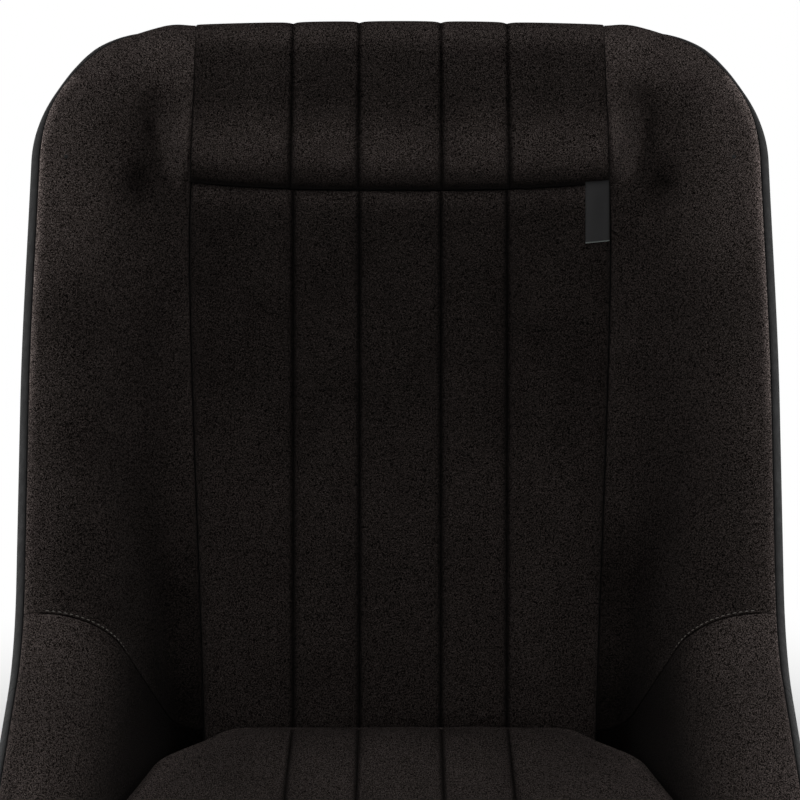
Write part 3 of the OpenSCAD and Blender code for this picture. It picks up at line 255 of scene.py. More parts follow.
def edge_frame(u, s):
    """Centre of the rim's roll, its outward direction and its normal."""
    way = edge_way(u, s)
    ua, sa = edge_place(way - EDGE_STEP)
    ub, sb = edge_place(way + EDGE_STEP)
    up = unit(face_normal(ua, sa) + face_normal(u, s) + face_normal(ub, sb))
    along = face(ub, sb) - face(ua, sa)
    out = unit(np.cross(up, along))
    nrm = unit(np.cross(along, out))
    return face(u, s) - RIM_R * nrm, out, nrm


def round_rim(frames, angle, r):
    c, out, nrm = frames
    angle, r = np.asarray(angle)[..., None], np.asarray(r)[..., None]
    return c + r * (np.sin(angle) * out + np.cos(angle) * nrm)


def seam_angle(u, s):
    """How far round the rim the cloth reaches before the leathercloth starts."""
    return np.radians(np.where(s <= 0, mix(96.0, 62.0, ease(np.abs(u) - 1)),
                               mix(62.0, 42.0, ease(s / 70.0))))


GROOVE = 1.2 / RIM_R            # angle of the groove between cloth and leathercloth


def wing_seam(u):
    """The s of the seam between wing and base cover."""
    return mix(SEAM_FOOT, SEAM_RIM, ease(np.abs(u) - 1))


# ---- Meshes --------------------------------------------------------------------------------
def link(name, data):
    ob = bpy.data.objects.new(name, data)
    bpy.context.scene.collection.objects.link(ob)
    return ob


def make(name, verts, quads, attrs=None):
    me = bpy.data.meshes.new(name)
    points = (np.asarray(verts, float).reshape(-1, 3) * 0.001).tolist()
    me.from_pydata(points, [], [list(map(int, q)) for q in quads])
    me.validate()
    bm = bmesh.new()
    bm.from_mesh(me)
    bmesh.ops.recalc_face_normals(bm, faces=bm.faces)
    bm.to_mesh(me)
    bm.free()
    for k, v in (attrs or {}).items():
        me.attributes.new(k, "FLOAT", "POINT").data.foreach_set("value", np.asarray(v, np.float32).ravel())
    me.polygons.foreach_set("use_smooth", [True] * len(me.polygons))
    me.update()
    return link(name, me)


def subdivide(ob):
    m = ob.modifiers.new("Smooth", "SUBSURF")
    m.levels = m.render_levels = 1
    return ob


def finish_piece(ob, material, body, replaces=()):
    ob.data.materials.append(material)
    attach(ob, body)
    if replaces:
        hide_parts(*replaces)
    return ob


def grid_quads(rows, cols, start=0):
    i, j = np.meshgrid(np.arange(rows - 1), np.arange(cols - 1), indexing="ij")
    a = start + i * cols + j
    return np.stack([a, a + 1, a + cols + 1, a + cols], -1).reshape(-1, 4).tolist()


def border(rows, cols):
    """Row and column of each place around a grid."""
    return ([(0, j) for j in range(cols)] + [(i, cols - 1) for i in range(1, rows)]
            + [(rows - 1, j) for j in range(cols - 2, -1, -1)] + [(i, 0) for i in range(rows - 2, 0, -1)])


def bevel_wall(outer, inner, edge, mid):
    """Quads that close the gap between two sheets of the same points, along a closed edge."""
    n = len(edge)
    verts, rows = [], [np.array(edge)]
    base = len(outer) + len(inner)
    for k in range(1, mid):
        t = k / mid
        verts.append(mix(outer[edge], inner[edge], t))
        rows.append(base + (k - 1) * n + np.arange(n))
    rows.append(np.array(edge) + len(outer))
    quads = []
    for a, b in zip(rows[:-1], rows[1:]):
        for i in range(n):
            j = (i + 1) % n
            quads.append((a[i], a[j], b[j], b[i]))
    return np.concatenate(verts), quads


def solid(name, outer, inner, quads, edge, attrs=None):
    """Closed piece between an outer and an inner sheet of the same points."""
    n = len(outer)
    extra, wall = bevel_wall(outer, inner, edge, 3)
    back = [tuple(n + np.array(q)[::-1]) for q in quads]
    verts = np.concatenate([outer, inner, extra])
    if attrs:
        attrs = {k: np.concatenate([v, v, np.zeros(len(extra))]) for k, v in attrs.items()}
    return make(name, verts, list(quads) + back + wall, attrs)


def slab(name, outer, inner, attrs):
    """The same between two sheets that are whole grids."""
    rows, cols = outer.shape[:2]
    edge = [i * cols + j for i, j in border(rows, cols)]
    return solid(name, outer.reshape(-1, 3), inner.reshape(-1, 3), grid_quads(rows, cols), edge, attrs)


def rimmed(name, U, S, first, count, h_out, h_in, angles, r_out, r_in, attrs=None):
    """Sheet over the grid U, S with a rim beside count border places, from place first on.
    angles, r_out and r_in give for each border place and ring its angle and radii. Each
    attribute is a pair: its values on the grid, and a number or a function for the rim."""
    rows, cols = U.shape
    loop = border(rows, cols)
    loop = loop[first:] + loop[:first]
    closed = count >= len(loop)
    path = loop[:min(count, len(loop))]
    n = len(path)
    pi = np.array([i * cols + j for i, j in path])
    pu, ps = U.ravel()[pi], S.ravel()[pi]
    frames = edge_frame(pu, ps)
    ang, ro, ri = angles(pu, ps), r_out(pu, ps), r_in(pu, ps)

    def layer(h, r):
        rings = [round_rim(frames, ang[k], r[k]) for k in range(len(ang))]
        return np.concatenate([above(U, S, h).reshape(-1, 3)] + rings)

    def beside(value):
        return value(pu, ps) if callable(value) else np.full(ang.shape, value)

    outer, inner = layer(h_out, ro), layer(h_in, ri)
    quads = grid_quads(rows, cols)
    start = rows * cols
    ring = [pi] + [start + k * n + np.arange(n) for k in range(len(ang))]
    for a, b in zip(ring[:-1], ring[1:]):
        for i in range(n if closed else n - 1):
            j = (i + 1) % n
            quads.append((a[j], a[i], b[i], b[j]))
    if closed:
        edge = list(ring[-1])
    else:
        rest = [i * cols + j for i, j in loop[n - 1:]]
        edge = (list(ring[-1]) + [r[-1] for r in ring[-2:0:-1]] + rest + [pi[0]]
                + [r[0] for r in ring[1:-1]])
    if attrs:
        attrs = {k: np.concatenate([np.ravel(on_grid), beside(on_rim).ravel()])
                 for k, (on_grid, on_rim) in attrs.items()}
    return solid(name, outer, inner, quads, edge, attrs)


def mirrored(ob, name):
    me = ob.data.copy()
    co = np.zeros(len(me.vertices) * 3)
    me.vertices.foreach_get("co", co)
    co = co.reshape(-1, 3)
    co[:, 0] *= -1
    me.vertices.foreach_set("co", co.ravel())
    me.flip_normals()
    me.name = name
    return link(name, me)


def tuck(d, r, depth):
    """Fall of a padded surface into a seam at distance d, by depth over the last r millimetres."""
    t = clamp(d / r)
    return -depth * (1 - np.sqrt(np.maximum(0, 1 - (1 - t) ** 2)))


# ---- Materials -----------------------------------------------------------------------------
def new_material(name):
    mat = bpy.data.materials.new(name)
    mat.use_nodes = True
    nt = mat.node_tree
    nt.nodes.clear()
    out = nt.nodes.new("ShaderNodeOutputMaterial")
    bsdf = nt.nodes.new("ShaderNodeBsdfPrincipled")
    nt.links.new(bsdf.outputs[0], out.inputs[0])
    return mat, nt, bsdf


def put(nt, n, inputs):
    """Links or sets the inputs of a node. Plain numbers stay on its own sockets."""
    for k, v in inputs.items():
        if isinstance(v, bpy.types.NodeSocket):
            nt.links.new(v, n.inputs[k])
        else:
            n.inputs[k].default_value = v
    return n


def node(nt, kind, inputs=None, **props):
    n = nt.nodes.new("ShaderNode" + kind)
    for k, v in props.items():
        setattr(n, k, v)
    return put(nt, n, inputs or {})


def position(nt):
    return node(nt, "TexCoord").outputs["Object"]


def ramp(nt, fac, stops):
    n = node(nt, "ValToRGB", {"Fac": fac})
    els = n.color_ramp.elements
    while len(els) < len(stops):
        els.new(0.5)
    for e, (p, c) in zip(els, stops):
        e.position = p
        e.color = (c, c, c, 1)
    return n.outputs[0]


def noise(nt, co, scale, detail=2.0, rough=0.5, distort=0.0):
    return node(nt, "TexNoise", {"Vector": co, "Scale": scale, "Detail": detail, "Roughness": rough,
                                 "Distortion": distort}).outputs[0]


def bump(nt, height, strength, distance, normal=None):
    below = {} if normal is None else {"Normal": normal}
    return node(nt, "Bump", {"Height": height, "Strength": strength, "Distance": distance, **below}).outputs[0]


def mixed(nt, fac, a, b):
    a, b = (c if isinstance(c, bpy.types.NodeSocket) else (*c, 1) for c in (a, b))
    return node(nt, "Mix", {0: fac, 6: a, 7: b}, data_type="RGBA").outputs[2]


def times(nt, colour, shade, amount=1.0):
    return node(nt, "Mix", {0: amount, 6: colour, 7: shade}, data_type="RGBA", blend_type="MULTIPLY").outputs[2]


def cloth_material(name, dark, light, sheen):
    """Knitted cloth of dark yarn with paler flecks. Its colour carries painted shade in its seams, and
    painted light and shade from a per-point attribute: paler where it is stretched over an edge, darker where
    it lies in a corner."""
    mat, nt, b = new_material(name)
    co = node(nt, "Mapping", {"Vector": position(nt), "Scale": (1.0, 0.45, 1.0)}).outputs[0]
    grain = noise(nt, co, 900.0, 2.0, 0.7)
    fleck = noise(nt, co, 1700.0, 1.0, 0.5)
    patch = noise(nt, co, 22.0, 3.0, 0.55)
    base = mixed(nt, ramp(nt, grain, [(0.44, 0.0), (0.59, 1.0)]), dark, light)
    base = mixed(nt, ramp(nt, fleck, [(0.5, 0.0), (0.68, 0.8)]), base, tuple(3.1 * c for c in light))
    base = times(nt, base, ramp(nt, patch, [(0.3, 0.85), (0.7, 1.1)]))
    # Painted shade: the colour darkens to about a fifth within 2.6 mm of a seam, by the 'seam' distances.
    d = node(nt, "Attribute", attribute_name="seam", attribute_type="GEOMETRY").outputs["Fac"]
    near = node(nt, "MapRange", {"Value": d, "From Min": 0.2, "From Max": 2.6,
                                 "To Min": 0.22, "To Max": 1.0}).outputs[0]
    base = times(nt, base, ramp(nt, near, [(0.0, 0.0), (1.0, 1.0)]))
    # Painted light and shade: a per-point attribute scales the colour, paler on rims, edges and bulges, darker
    # in corners and on inner walls.
    painted_shading = node(nt, "Attribute", attribute_name="painted_shading", attribute_type="GEOMETRY").outputs["Fac"]
    base = times(nt, base, node(nt, "Math", {0: painted_shading, 1: 1.0}, operation="ADD").outputs[0])
    put(nt, b, {"Base Color": base, "Roughness": 0.95, "Specular IOR Level": 0.0, "Sheen Weight": sheen,
                "Sheen Roughness": 0.45, "Sheen Tint": (0.95, 0.86, 0.83, 1),
                "Normal": bump(nt, fleck, 0.4, 0.0007, bump(nt, grain, 0.7, 0.0014))})
    return mat


cloth = cloth_material("Woven_cloth", dark=(0.0009, 0.0007, 0.0006), light=(0.0125, 0.0102, 0.0095),
                       sheen=0.012)

mat, nt, b = new_material("Thread")
co = position(nt)
twist = node(nt, "TexWave", {"Vector": co, "Scale": 900.0, "Distortion": 1.5},
             bands_direction="DIAGONAL").outputs[1]
put(nt, b, {"Base Color": mixed(nt, twist, (0.045, 0.041, 0.038), (0.15, 0.138, 0.128)), "Roughness": 0.7,
            "Specular IOR Level": 0.1, "Normal": bump(nt, twist, 0.4, 0.0002)})
thread = mat

mat, nt, b = new_material("Vinyl")
co = position(nt)
cells = node(nt, "TexVoronoi", {"Vector": co, "Scale": 900.0}, feature="DISTANCE_TO_EDGE").outputs[0]
edges = ramp(nt, cells, [(0.0, 0.0), (0.16, 1.0)])
soft = noise(nt, co, 160.0, 3.0)
put(nt, b, {"Base Color": mixed(nt, noise(nt, co, 30.0, 2.0), (0.004, 0.004, 0.0042), (0.0085, 0.0083, 0.0083)),
            "Roughness": ramp(nt, soft, [(0.3, 0.58), (0.7, 0.74)]), "Specular IOR Level": 0.12,
            "Normal": bump(nt, edges, 0.35, 0.0003, bump(nt, soft, 0.2, 0.0006))})
vinyl = mat

mat, nt, b = new_material("Moulded_shell")
co = position(nt)
strands = noise(nt, co, 260.0, 4.0, 0.7, 1.2)
put(nt, b, {"Base Color": mixed(nt, strands, (0.003, 0.003, 0.0032), (0.009, 0.009, 0.0095)),
            "Roughness": ramp(nt, noise(nt, co, 90.0, 3.0), [(0.3, 0.38), (0.7, 0.55)]),
            "Normal": bump(nt, strands, 0.25, 0.0006)})
shell_mat = mat


def metal(name, low, high, rough, brushed=None, coat=0.0, metallic=1.0, fleck=0.0):
    mat, nt, b = new_material(name)
    co = position(nt)
    wear = noise(nt, co, 45.0, 5.0, 0.6)
    stretch = co
    if brushed:
        stretch = node(nt, "Mapping", {"Vector": co, "Scale": brushed}).outputs[0]
    lines = noise(nt, stretch, 500.0, 3.0, 0.7)
    colour = mixed(nt, wear, low, high)
    both = node(nt, "Math", {0: wear, 1: lines}, operation="ADD").outputs[0]
    half = node(nt, "Math", {0: both, 1: 0.5}, operation="MULTIPLY").outputs[0]
    put(nt, b, {"Base Color": colour, "Metallic": metallic, "Coat Weight": coat,
                "Roughness": ramp(nt, half, [(0.3, rough[0]), (0.7, rough[1])]),
                "Normal": bump(nt, lines, 0.12 + fleck, 0.0003)})
    return mat


rail_mat = metal("Pressed_steel", (0.33, 0.34, 0.35), (0.5, 0.51, 0.52), (0.28, 0.46), (1, 0.04, 1))
zinc_mat = metal("Zinc_plate", (0.46, 0.47, 0.47), (0.66, 0.66, 0.64), (0.22, 0.42))
bright_mat = metal("Bright_steel", (0.55, 0.56, 0.57), (0.68, 0.69, 0.7), (0.08, 0.2))
powder_mat = metal("Powder_coat", (0.014, 0.014, 0.015), (0.024, 0.024, 0.026), (0.42, 0.58),
                   coat=0.1, metallic=0.0, fleck=0.3)

mat, nt, b = new_material("Nylon")
co = position(nt)
put(nt, b, {"Base Color": mixed(nt, noise(nt, co, 60.0, 3.0), (0.46, 0.44, 0.37), (0.6, 0.58, 0.5)),
            "Roughness": ramp(nt, noise(nt, co, 220.0, 3.0), [(0.3, 0.4), (0.7, 0.58)]),
            "Subsurface Weight": 0.05, "Normal": bump(nt, noise(nt, co, 400.0, 2.0), 0.15, 0.0004)})
nylon = mat

mat, nt, b = new_material("Open_cell_foam")
co = position(nt)
pores = node(nt, "TexVoronoi", {"Vector": co, "Scale": 700.0}).outputs[0]
put(nt, b, {"Base Color": mixed(nt, pores, (0.62, 0.58, 0.42), (0.76, 0.72, 0.56)), "Roughness": 0.9,
            "Normal": bump(nt, pores, 0.5, 0.0006)})
foam_mat = mat

mat, nt, b = new_material("Grip_rubber")
co = position(nt)
ribs = node(nt, "TexWave", {"Vector": co, "Scale": 95.0, "Distortion": 0.0}, bands_direction="X").outputs[1]
put(nt, b, {"Base Color": mixed(nt, noise(nt, co, 70.0, 3.0), (0.012, 0.012, 0.013), (0.024, 0.024, 0.025)),
            "Roughness": 0.66, "Normal": bump(nt, ribs, 0.6, 0.0012)})
rubber = mat

mat, nt, b = new_material("Birch_plywood")
co = position(nt)
stretch = node(nt, "Mapping", {"Vector": co, "Scale": (1.0, 0.06, 1.0)}).outputs[0]
veins = noise(nt, stretch, 140.0, 5.0, 0.6, 0.6)
plies = node(nt, "TexWave", {"Vector": co, "Scale": 105.0, "Distortion": 0.6}, bands_direction="Z").outputs[1]
wood = mixed(nt, veins, (0.42, 0.27, 0.14), (0.6, 0.42, 0.24))
dark = mixed(nt, ramp(nt, plies, [(0.3, 0.0), (0.8, 0.55)]), (1, 1, 1), (0.55, 0.5, 0.45))
put(nt, b, {"Base Color": times(nt, wood, dark, 0.6), "Roughness": 0.6, "Normal": bump(nt, veins, 0.2, 0.0005)})
plywood = mat

mat, nt, b = new_material("Hook_and_loop")
co = position(nt)
pile = node(nt, "TexVoronoi", {"Vector": co, "Scale": 850.0}).outputs[0]
put(nt, b, {"Base Color": mixed(nt, pile, (0.03, 0.03, 0.032), (0.008, 0.008, 0.009)), "Roughness": 0.85,
            "Sheen Weight": 0.3, "Normal": bump(nt, pile, 0.8, 0.0008)})
hook = mat

mat, nt, b = new_material("Woven_tape")
co = position(nt)
warp = node(nt, "TexWave", {"Vector": co, "Scale": 520.0, "Distortion": 1.0}, bands_direction="Z").outputs[1]
weft = node(nt, "TexWave", {"Vector": co, "Scale": 420.0, "Distortion": 1.0}, bands_direction="X").outputs[1]
weave = node(nt, "Math", {0: warp, 1: weft}, operation="MULTIPLY").outputs[0]
# Painted highlight: the tape's colour turns pale along its fold.
fold = node(nt, "Attribute", attribute_name="fold", attribute_type="GEOMETRY").outputs["Fac"]
woven = mixed(nt, weave, (0.008, 0.008, 0.0082), (0.017, 0.017, 0.0175))
put(nt, b, {"Base Color": mixed(nt, fold, woven, (0.24, 0.26, 0.25)), "Roughness": 0.75,
            "Specular IOR Level": 0.15, "Normal": bump(nt, weave, 0.5, 0.0004)})
tape = mat

for slot, mat in {"shell": shell_mat, "vinyl": vinyl, "cloth": cloth, "foam": foam_mat, "label": tape,
                  "plywood": plywood, "strip": hook, "rail": rail_mat, "bearing": bright_mat, "cage": nylon,
                  "zinc": zinc_mat, "bar": powder_mat, "grip": rubber}.items():
    for part in frame["record"]["subparts"]:
        if part["material_slot"] == slot:
            ob = nodes[part["node"]]
            if not ob.material_slots:
                ob.data.materials.append(mat)
            for sl in ob.material_slots:
                sl.material = mat

# ---- Wings ---------------------------------------------------------------------------------
LAYER = SHELL_IN - 0.6          # depth of cover and foam together
TUCKS = np.array([0.0, 0.35, 0.9, 1.7, 2.8, 4.4, 6.6])     # columns that crowd at the foot
SEAM_ROWS = np.array([0.0, 0.3, 0.8, 1.6, 2.8, 4.6, 7.0])  # rows that crowd at the base seam
ROLL_START = 0.22               # share of the roll's swell that lies behind the crest
FAR = 40.0                      # "seam" value of cloth far from any seam, which the painted seam shade leaves unchanged


def roll_seam(x):
    """The s of the seam under the shoulder roll, which bows down in the middle."""
    return ROLL_LEN + 0.5 - 5.5 * np.abs(x / TOP_X) ** 3


def swell(t):
    """Profile of the roll at t: -1 at its seam behind, 0 on the crest, 1 at its seam in front."""
    v = np.where(t < 0, ROLL_START * (1 + t), mix(ROLL_START, 1.0, clamp(t)))
    return np.sin(np.pi * clamp(v) ** 1.25)


def roll_swell(t):
    return ROLL_H * np.sqrt(np.maximum(0, swell(t)))


def wing_swell(d, s):
    """End of the roll's padding under the wing cover: a fat end that a crease cuts off."""
    t = s / roll_seam(TOP_X)
    h = np.where(t > 1, 0.0, ROLL_H * swell(t) ** 0.62)
    reach = np.interp(s, [-30, 0, 20, 33, 58, 75, 90, 104], [52, 46, 38, 31, 25, 20, 14, 8])
    start = reach * np.interp(s, [0, 60, 95], [0.15, 0.3, 0.1])
    bulge = h * (1 - ease((d - start) / (reach - start)))
    fold = np.interp(s, [8, 30, 70, 104], [0, 1, 1, 0])
    valley = -5.0 * fold * np.exp(-((d - reach - 2) / 7.0) ** 2)
    pocket = -4.6 * np.exp(-((d - 36) / 13.0) ** 2 - ((s - 96) / 15.0) ** 2)
    lip = 1.2 * fold * np.exp(-((d - reach + 9) / 4.0) ** 2)
    return bulge + valley + pocket + lip


def wing_painted_shading(d, s, rim):
    """Painted light and shade on a wing's cloth: how much paler or darker its colour is painted than on
    its flat middle, by the distance d from its foot, the place s and the distance from the rim."""
    high = np.interp(rim, [0, 12, 30, 45, 60, 100], [1.5, 1.1, 0.65, 0.3, 0.05, -0.05])
    low = np.interp(rim, [0, 6, 12, 24, 60, 90, 130], [0.55, 0.4, 0.2, 0.0, -0.05, -0.1, 0.0])
    edge = mix(high, low, ease((s - 100) / 120))
    side = np.interp(s, [20, 50, 84, 94], [30, 26, 16, 11])
    ridge = ease((side + 3 - d) / 6.0) * ease((s - 25) / 40) * ease((98 - s) / 20) * ease((d - 1) / 8.0)
    crossing = np.interp(s, [26, 58, 80], [34, 27, 40])
    fold = np.exp(-((d - crossing) / 7.0) ** 2) * ease((s - 14) / 14) * ease((72 - s) / 24)
    pocket = np.exp(-((d - 38) / 13.0) ** 2 - ((s - 90) / 15.0) ** 2)
    wall = ease((s - 300) / 90) * ease((90 - d) / 60) + 0.5 * ease((s - 420) / 50) * ease((110 - d) / 50)
    # Painted highlight along the rim and on the ridge at the roll's end; painted shade in the fold, in the
    # pocket and down the inner wall.
    return edge + 1.9 * ridge - 0.5 * fold - 0.6 * pocket - 0.5 * wall


def wing_columns(s):
    length = float(wing_len(s))
    return np.concatenate([1 + TUCKS / length, 1 + mix(TUCKS[-1] / length, 1, np.linspace(0, 1, 27)[1:])])


def wing_grid():
    dense, last = 110, 461.0     # rows lie closer beside the roll; the even rows end at last
    ends = SEAM_ROWS[::-1]
    U, S = [], []
    for t in np.concatenate([np.linspace(0, dense, 34)[:-1], np.linspace(dense, last, 56)]):
        U.append(wing_columns(t))
        k = t / last
        S.append(t + k ** 2 * (wing_seam(U[-1]) - GAP - ends[0] - last) if t > 0 else np.zeros(len(U[-1])))
    for e in ends[1:]:
        U.append(wing_columns(SEAM_FOOT - 10.0))
        S.append(wing_seam(U[-1]) - GAP - e)
    return np.array(U), np.array(S)


# How far round the rim each ring of the cloth lies, 1 being its edge.
RING = np.array([0.1, 0.22, 0.36, 0.5, 0.63, 0.75, 0.85, 0.92, 0.97, 1.0])


# Painted highlight on the wing cloth's rings round the rim, strongest at the cloth's edge.
def wing_edge_painted_shading(u, s):
    start = mix(1.5, 0.55, ease((s - 100) / 120))
    end = np.where(s <= 0, 2.0, mix(10.0, 3.5, ease((s - 220) / 120)))
    return mix(start[None], end[None], RING[:, None] ** 3)


# Painted highlight on the base cloth's rings round the rim, strongest at the cloth's edge.
def base_edge_painted_shading(u, s):
    return mix(1.5, 5.0, RING[:, None] ** 5) * np.ones(len(u))[None]


def cloth_angles(u, s):
    return RING[:, None] * (seam_angle(u, s) - GROOVE)[None]


def cloth_radius(extra=None):
    def radius(u, s):
        ang = seam_angle(u, s) - GROOVE
        d = (1 - RING[:, None]) * ang[None] * RIM_R
        r = RIM_R + tuck(d, 2.4, 1.6)
        if extra is not None:
            r = r + extra(u, s)
        return r
    return radius


def rim_swell(u, s):
    """The padding of the roll's end that goes on over the rim."""
    d = (np.abs(u) - 1) * 100.0
    t = -RING[:, None]
    h = np.where(s <= 0, 1.0, 0.0) * (roll_swell(t) - 1.5 * (1 - ease(d / 18.0)))
    reach = 52.0
    return h * (1 - ease((d - 8) / (reach - 8)))[None]


def inner_radius(u, s):
    return np.full((len(RING), len(u)), RIM_R - COVER_T + 0.3)


def layer_depth(U, S, L, end_edge=False):
    """Depth of the piece's inner sheet: that of the cover alone at the rim, with foam beyond."""
    d = np.minimum((2 - U) * L, S_END - S if end_edge else S)
    return -mix(COVER_T - 0.3, LAYER, ease(d / 26.0))


U, S = wing_grid()
L = wing_len(S)
D = (U - 1) * L
seam_d = np.minimum(D, wing_seam(U) - GAP - S)
rim_d = np.minimum((2 - U) * L, S + 4 * ease((2 - U) * L / 40.0))
uneven = 0.5 * np.sin(S / 41.0 + D / 23.0) + 0.35 * np.sin(S / 17.0 - D / 31.0 + 1.3)
H = (wing_swell(D, S) + tuck(D, 1.8, 1.2) + tuck(wing_seam(U) - GAP - S, 1.4, 0.8)
     + uneven * ease(seam_d / 30.0) * ease((2 - U) * L / 20.0) * ease(S / 20.0))
wing_left = rimmed("wing_left", U, S, 0, len(U) + U.shape[1] - 1, H, layer_depth(U, S, L),
                   cloth_angles, cloth_radius(rim_swell), inner_radius,
                   {"seam": (0.6 + 2.5 * seam_d, FAR), "painted_shading": (wing_painted_shading(D, S, rim_d), wing_edge_painted_shading)})
wing_right = mirrored(wing_left, "wing_right")
for ob, side in ((wing_left, "left"), (wing_right, "right")):
    subdivide(ob)
    finish_piece(ob, cloth, "seat", ("wing_cover_" + side,))

# ---- Base bolsters -------------------------------------------------------------------------
U, S = [], []
for e in SEAM_ROWS[:-1]:
    U.append(wing_columns(SEAM_FOOT))
    S.append(wing_seam(U[-1]) + GAP + e)
for t in np.linspace(0, 1, 46):
    U.append(wing_columns(mix(SEAM_FOOT + 8.0, S_END, t)))
    S.append(mix(wing_seam(U[-1]) + GAP + SEAM_ROWS[-1], S_END, t))
U, S = np.array(U), np.array(S)
L = wing_len(S)
D = (U - 1) * L
top = S - wing_seam(U) - GAP
uneven = 0.5 * np.sin(S / 37.0 + D / 21.0 + 2.0) + 0.35 * np.sin(S / 19.0 - D / 27.0)
H = (tuck(D, 3.0, 2.0) + tuck(top, 1.4, 0.8)
     + uneven * ease(np.minimum(D, top) / 30.0) * ease((2 - U) * L / 20.0) * ease((S_END - S) / 20.0))


# Painted light and shade on a base bolster by distance from the rim: painted highlight at the rim, painted
# shade down the inner wall.
def base_painted_shading(rim):
    return np.interp(rim, [0, 12, 30, 50, 70, 90, 120, 150], [1.5, 1.4, 0.85, 0.3, -0.25, -0.6, -0.8, -0.9])


base_left = rimmed("base_left", U, S, U.shape[1] - 1, len(U) + U.shape[1] - 1, H,
                   layer_depth(U, S, L, True), cloth_angles, cloth_radius(), inner_radius,
                   {"seam": (np.minimum(D, 0.6 + 2.5 * top), FAR),
                    "painted_shading": (base_painted_shading((2 - U) * L), base_edge_painted_shading)})
base_right = mirrored(base_left, "base_right")
for ob, side in ((base_left, "left"), (base_right, "right")):
    subdivide(ob)
    finish_piece(ob, cloth, "seat", ("base_wing_" + side, "base_foam_" + side))


# ---- Fluted panel and shoulder roll --------------------------------------------------------
def flute_columns(w, per=11):
    """Places across five flutes of half width w, crowded at the seams."""
    edges = [-w, -FLUTE_OUT, -FLUTE_IN, FLUTE_IN, FLUTE_OUT, w]
    xs = []
    for a, b in zip(edges[:-1], edges[1:]):
        t = -np.cos(np.pi * np.arange(per + 1) / per)
        t = np.sign(t) * np.abs(t) ** 0.75
        xs += list(mix(a, b, (t + 1) / 2))[:-1]
    return np.array(xs + [w])


def crease(x, depth, reach=1.7):
    """Narrow valley along each line of stitches between the flutes."""
    d = np.minimum(np.abs(np.abs(x) - FLUTE_IN), np.abs(np.abs(x) - FLUTE_OUT))
    return -depth * np.exp(-(d / reach) ** 2)


def seam_gap(x, w, *others):
    """Distance to the nearest seam of a fluted piece of half width w."""
    ax = np.abs(x)
    d = np.minimum(np.minimum(np.abs(ax - FLUTE_IN), np.abs(ax - FLUTE_OUT)),
                   0.6 + 2.5 * np.maximum(0, w - ax))
    for o in others:
        d = np.minimum(d, o)
    return d


def flute(x, w, depth, full=2.4):
    """Crown of the flute at x, rounder the lower full is."""
    ax = np.abs(x)
    lo = np.where(ax < FLUTE_IN, -FLUTE_IN, np.where(ax < FLUTE_OUT, FLUTE_IN, FLUTE_OUT))
    hi = np.where(ax < FLUTE_IN, FLUTE_IN, np.where(ax < FLUTE_OUT, FLUTE_OUT, w))
    t = np.abs(2 * (ax - lo) / (hi - lo) - 1)
    return depth * np.sqrt(np.maximum(0, 1 - t ** full))


PANEL_END = 540.0
steps = np.array([0.0, 0.4, 1.0, 2.0, 3.4, 5.2, 7.6, 10.8, 15.0])
rows = [(0, e) for e in steps] + [(t, 0) for t in np.linspace(0, 1, 76)[1:]]
U, S, H, X = [], [], [], []
for t, e in rows:
    s_mid = ROLL_LEN + GAP + steps[-1] if t > 0 else ROLL_LEN + GAP + e
    s_nom = mix(s_mid, PANEL_END, t)
    w = float(foot_x(s_nom)) - GAP
    xs = flute_columns(w)
    sag = (roll_seam(xs) - ROLL_LEN) * (1 - ease((s_nom - ROLL_LEN) / 60.0))
    s = s_nom + sag
    dip = clamp((s_nom - ROLL_LEN - GAP) / 14.0)
    h = mix(-4.0, flute(xs, w, FLUTE_H), np.sqrt(1 - (1 - dip) ** 2))
    h = h + tuck(w - np.abs(xs), 1.8, 1.2) + crease(xs, 2.4) - 0.5
    h = h + 0.45 * np.sin(s_nom / 33.0 + xs / 29.0) * ease((w - np.abs(xs)) / 12)
    U.append(xs / float(foot_x(s_nom)))
    S.append(s)
    H.append(h)
    X.append(seam_gap(xs, w, 2.4 * (s_nom - ROLL_LEN - GAP)))
U, S, H, X = map(np.array, (U, S, H, X))
# Painted light on the fluted panel just under the roll's seam, and painted shade below it where the roll
# overhangs.
panel_painted_shading = np.interp(S, [94, 100, 108, 118, 240, 310, 450, 540],
                      [0.5, 0.3, -0.1, -0.28, -0.22, 0.0, 0.05, 0.1])
back = slab("back_panel_flutes", above(U, S, H), above(U, S, np.full(U.shape, -LAYER)),
            {"seam": X.ravel(), "painted_shading": panel_painted_shading.ravel()})
subdivide(back)
finish_piece(back, cloth, "seat", ("back_panel", "back_foam"))

BACK_RING = RING[::-1]
UNDER_X, UNDER_H = 1.2, 3.5      # width and depth of the seam allowance under the wing covers
# Painted light and shade along the roll by t: painted highlight behind the crest and on the lower bulge,
# painted shade in the seam under it.
ROLL_PAINTED_SHADING = ([-1, -0.3, -0.1, 0, 0.1, 0.35, 0.5, 0.64, 0.76, 0.84, 0.92, 1],
            [0.9, 1.2, 0.3, -0.05, -0.1, -0.1, 0.3, 0.85, 0.95, 0.7, 0.0, -0.5])
t_front = np.sin(np.linspace(0, np.pi / 2, 34)) ** 0.9
pts_out, pts_in, painted_shadings = [], [], []
xs = np.concatenate([[-TOP_X - UNDER_X], flute_columns(TOP_X - GAP), [TOP_X + UNDER_X]])
under = np.abs(xs) > TOP_X
u = xs / TOP_X
frames = edge_frame(u, np.zeros(len(u)))
ang = seam_angle(u, np.zeros(len(u))) - GROOVE
arch = np.where(under, 0.0, 2.6 * (1 - (xs / TOP_X) ** 2))
groove = np.where(under, 0.0, flute(np.clip(xs, -TOP_X, TOP_X), TOP_X, 1.0, 3.0))
groove = np.where(np.abs(xs) > (FLUTE_OUT + TOP_X) / 2, mix(0.65, 1.0, groove), groove)
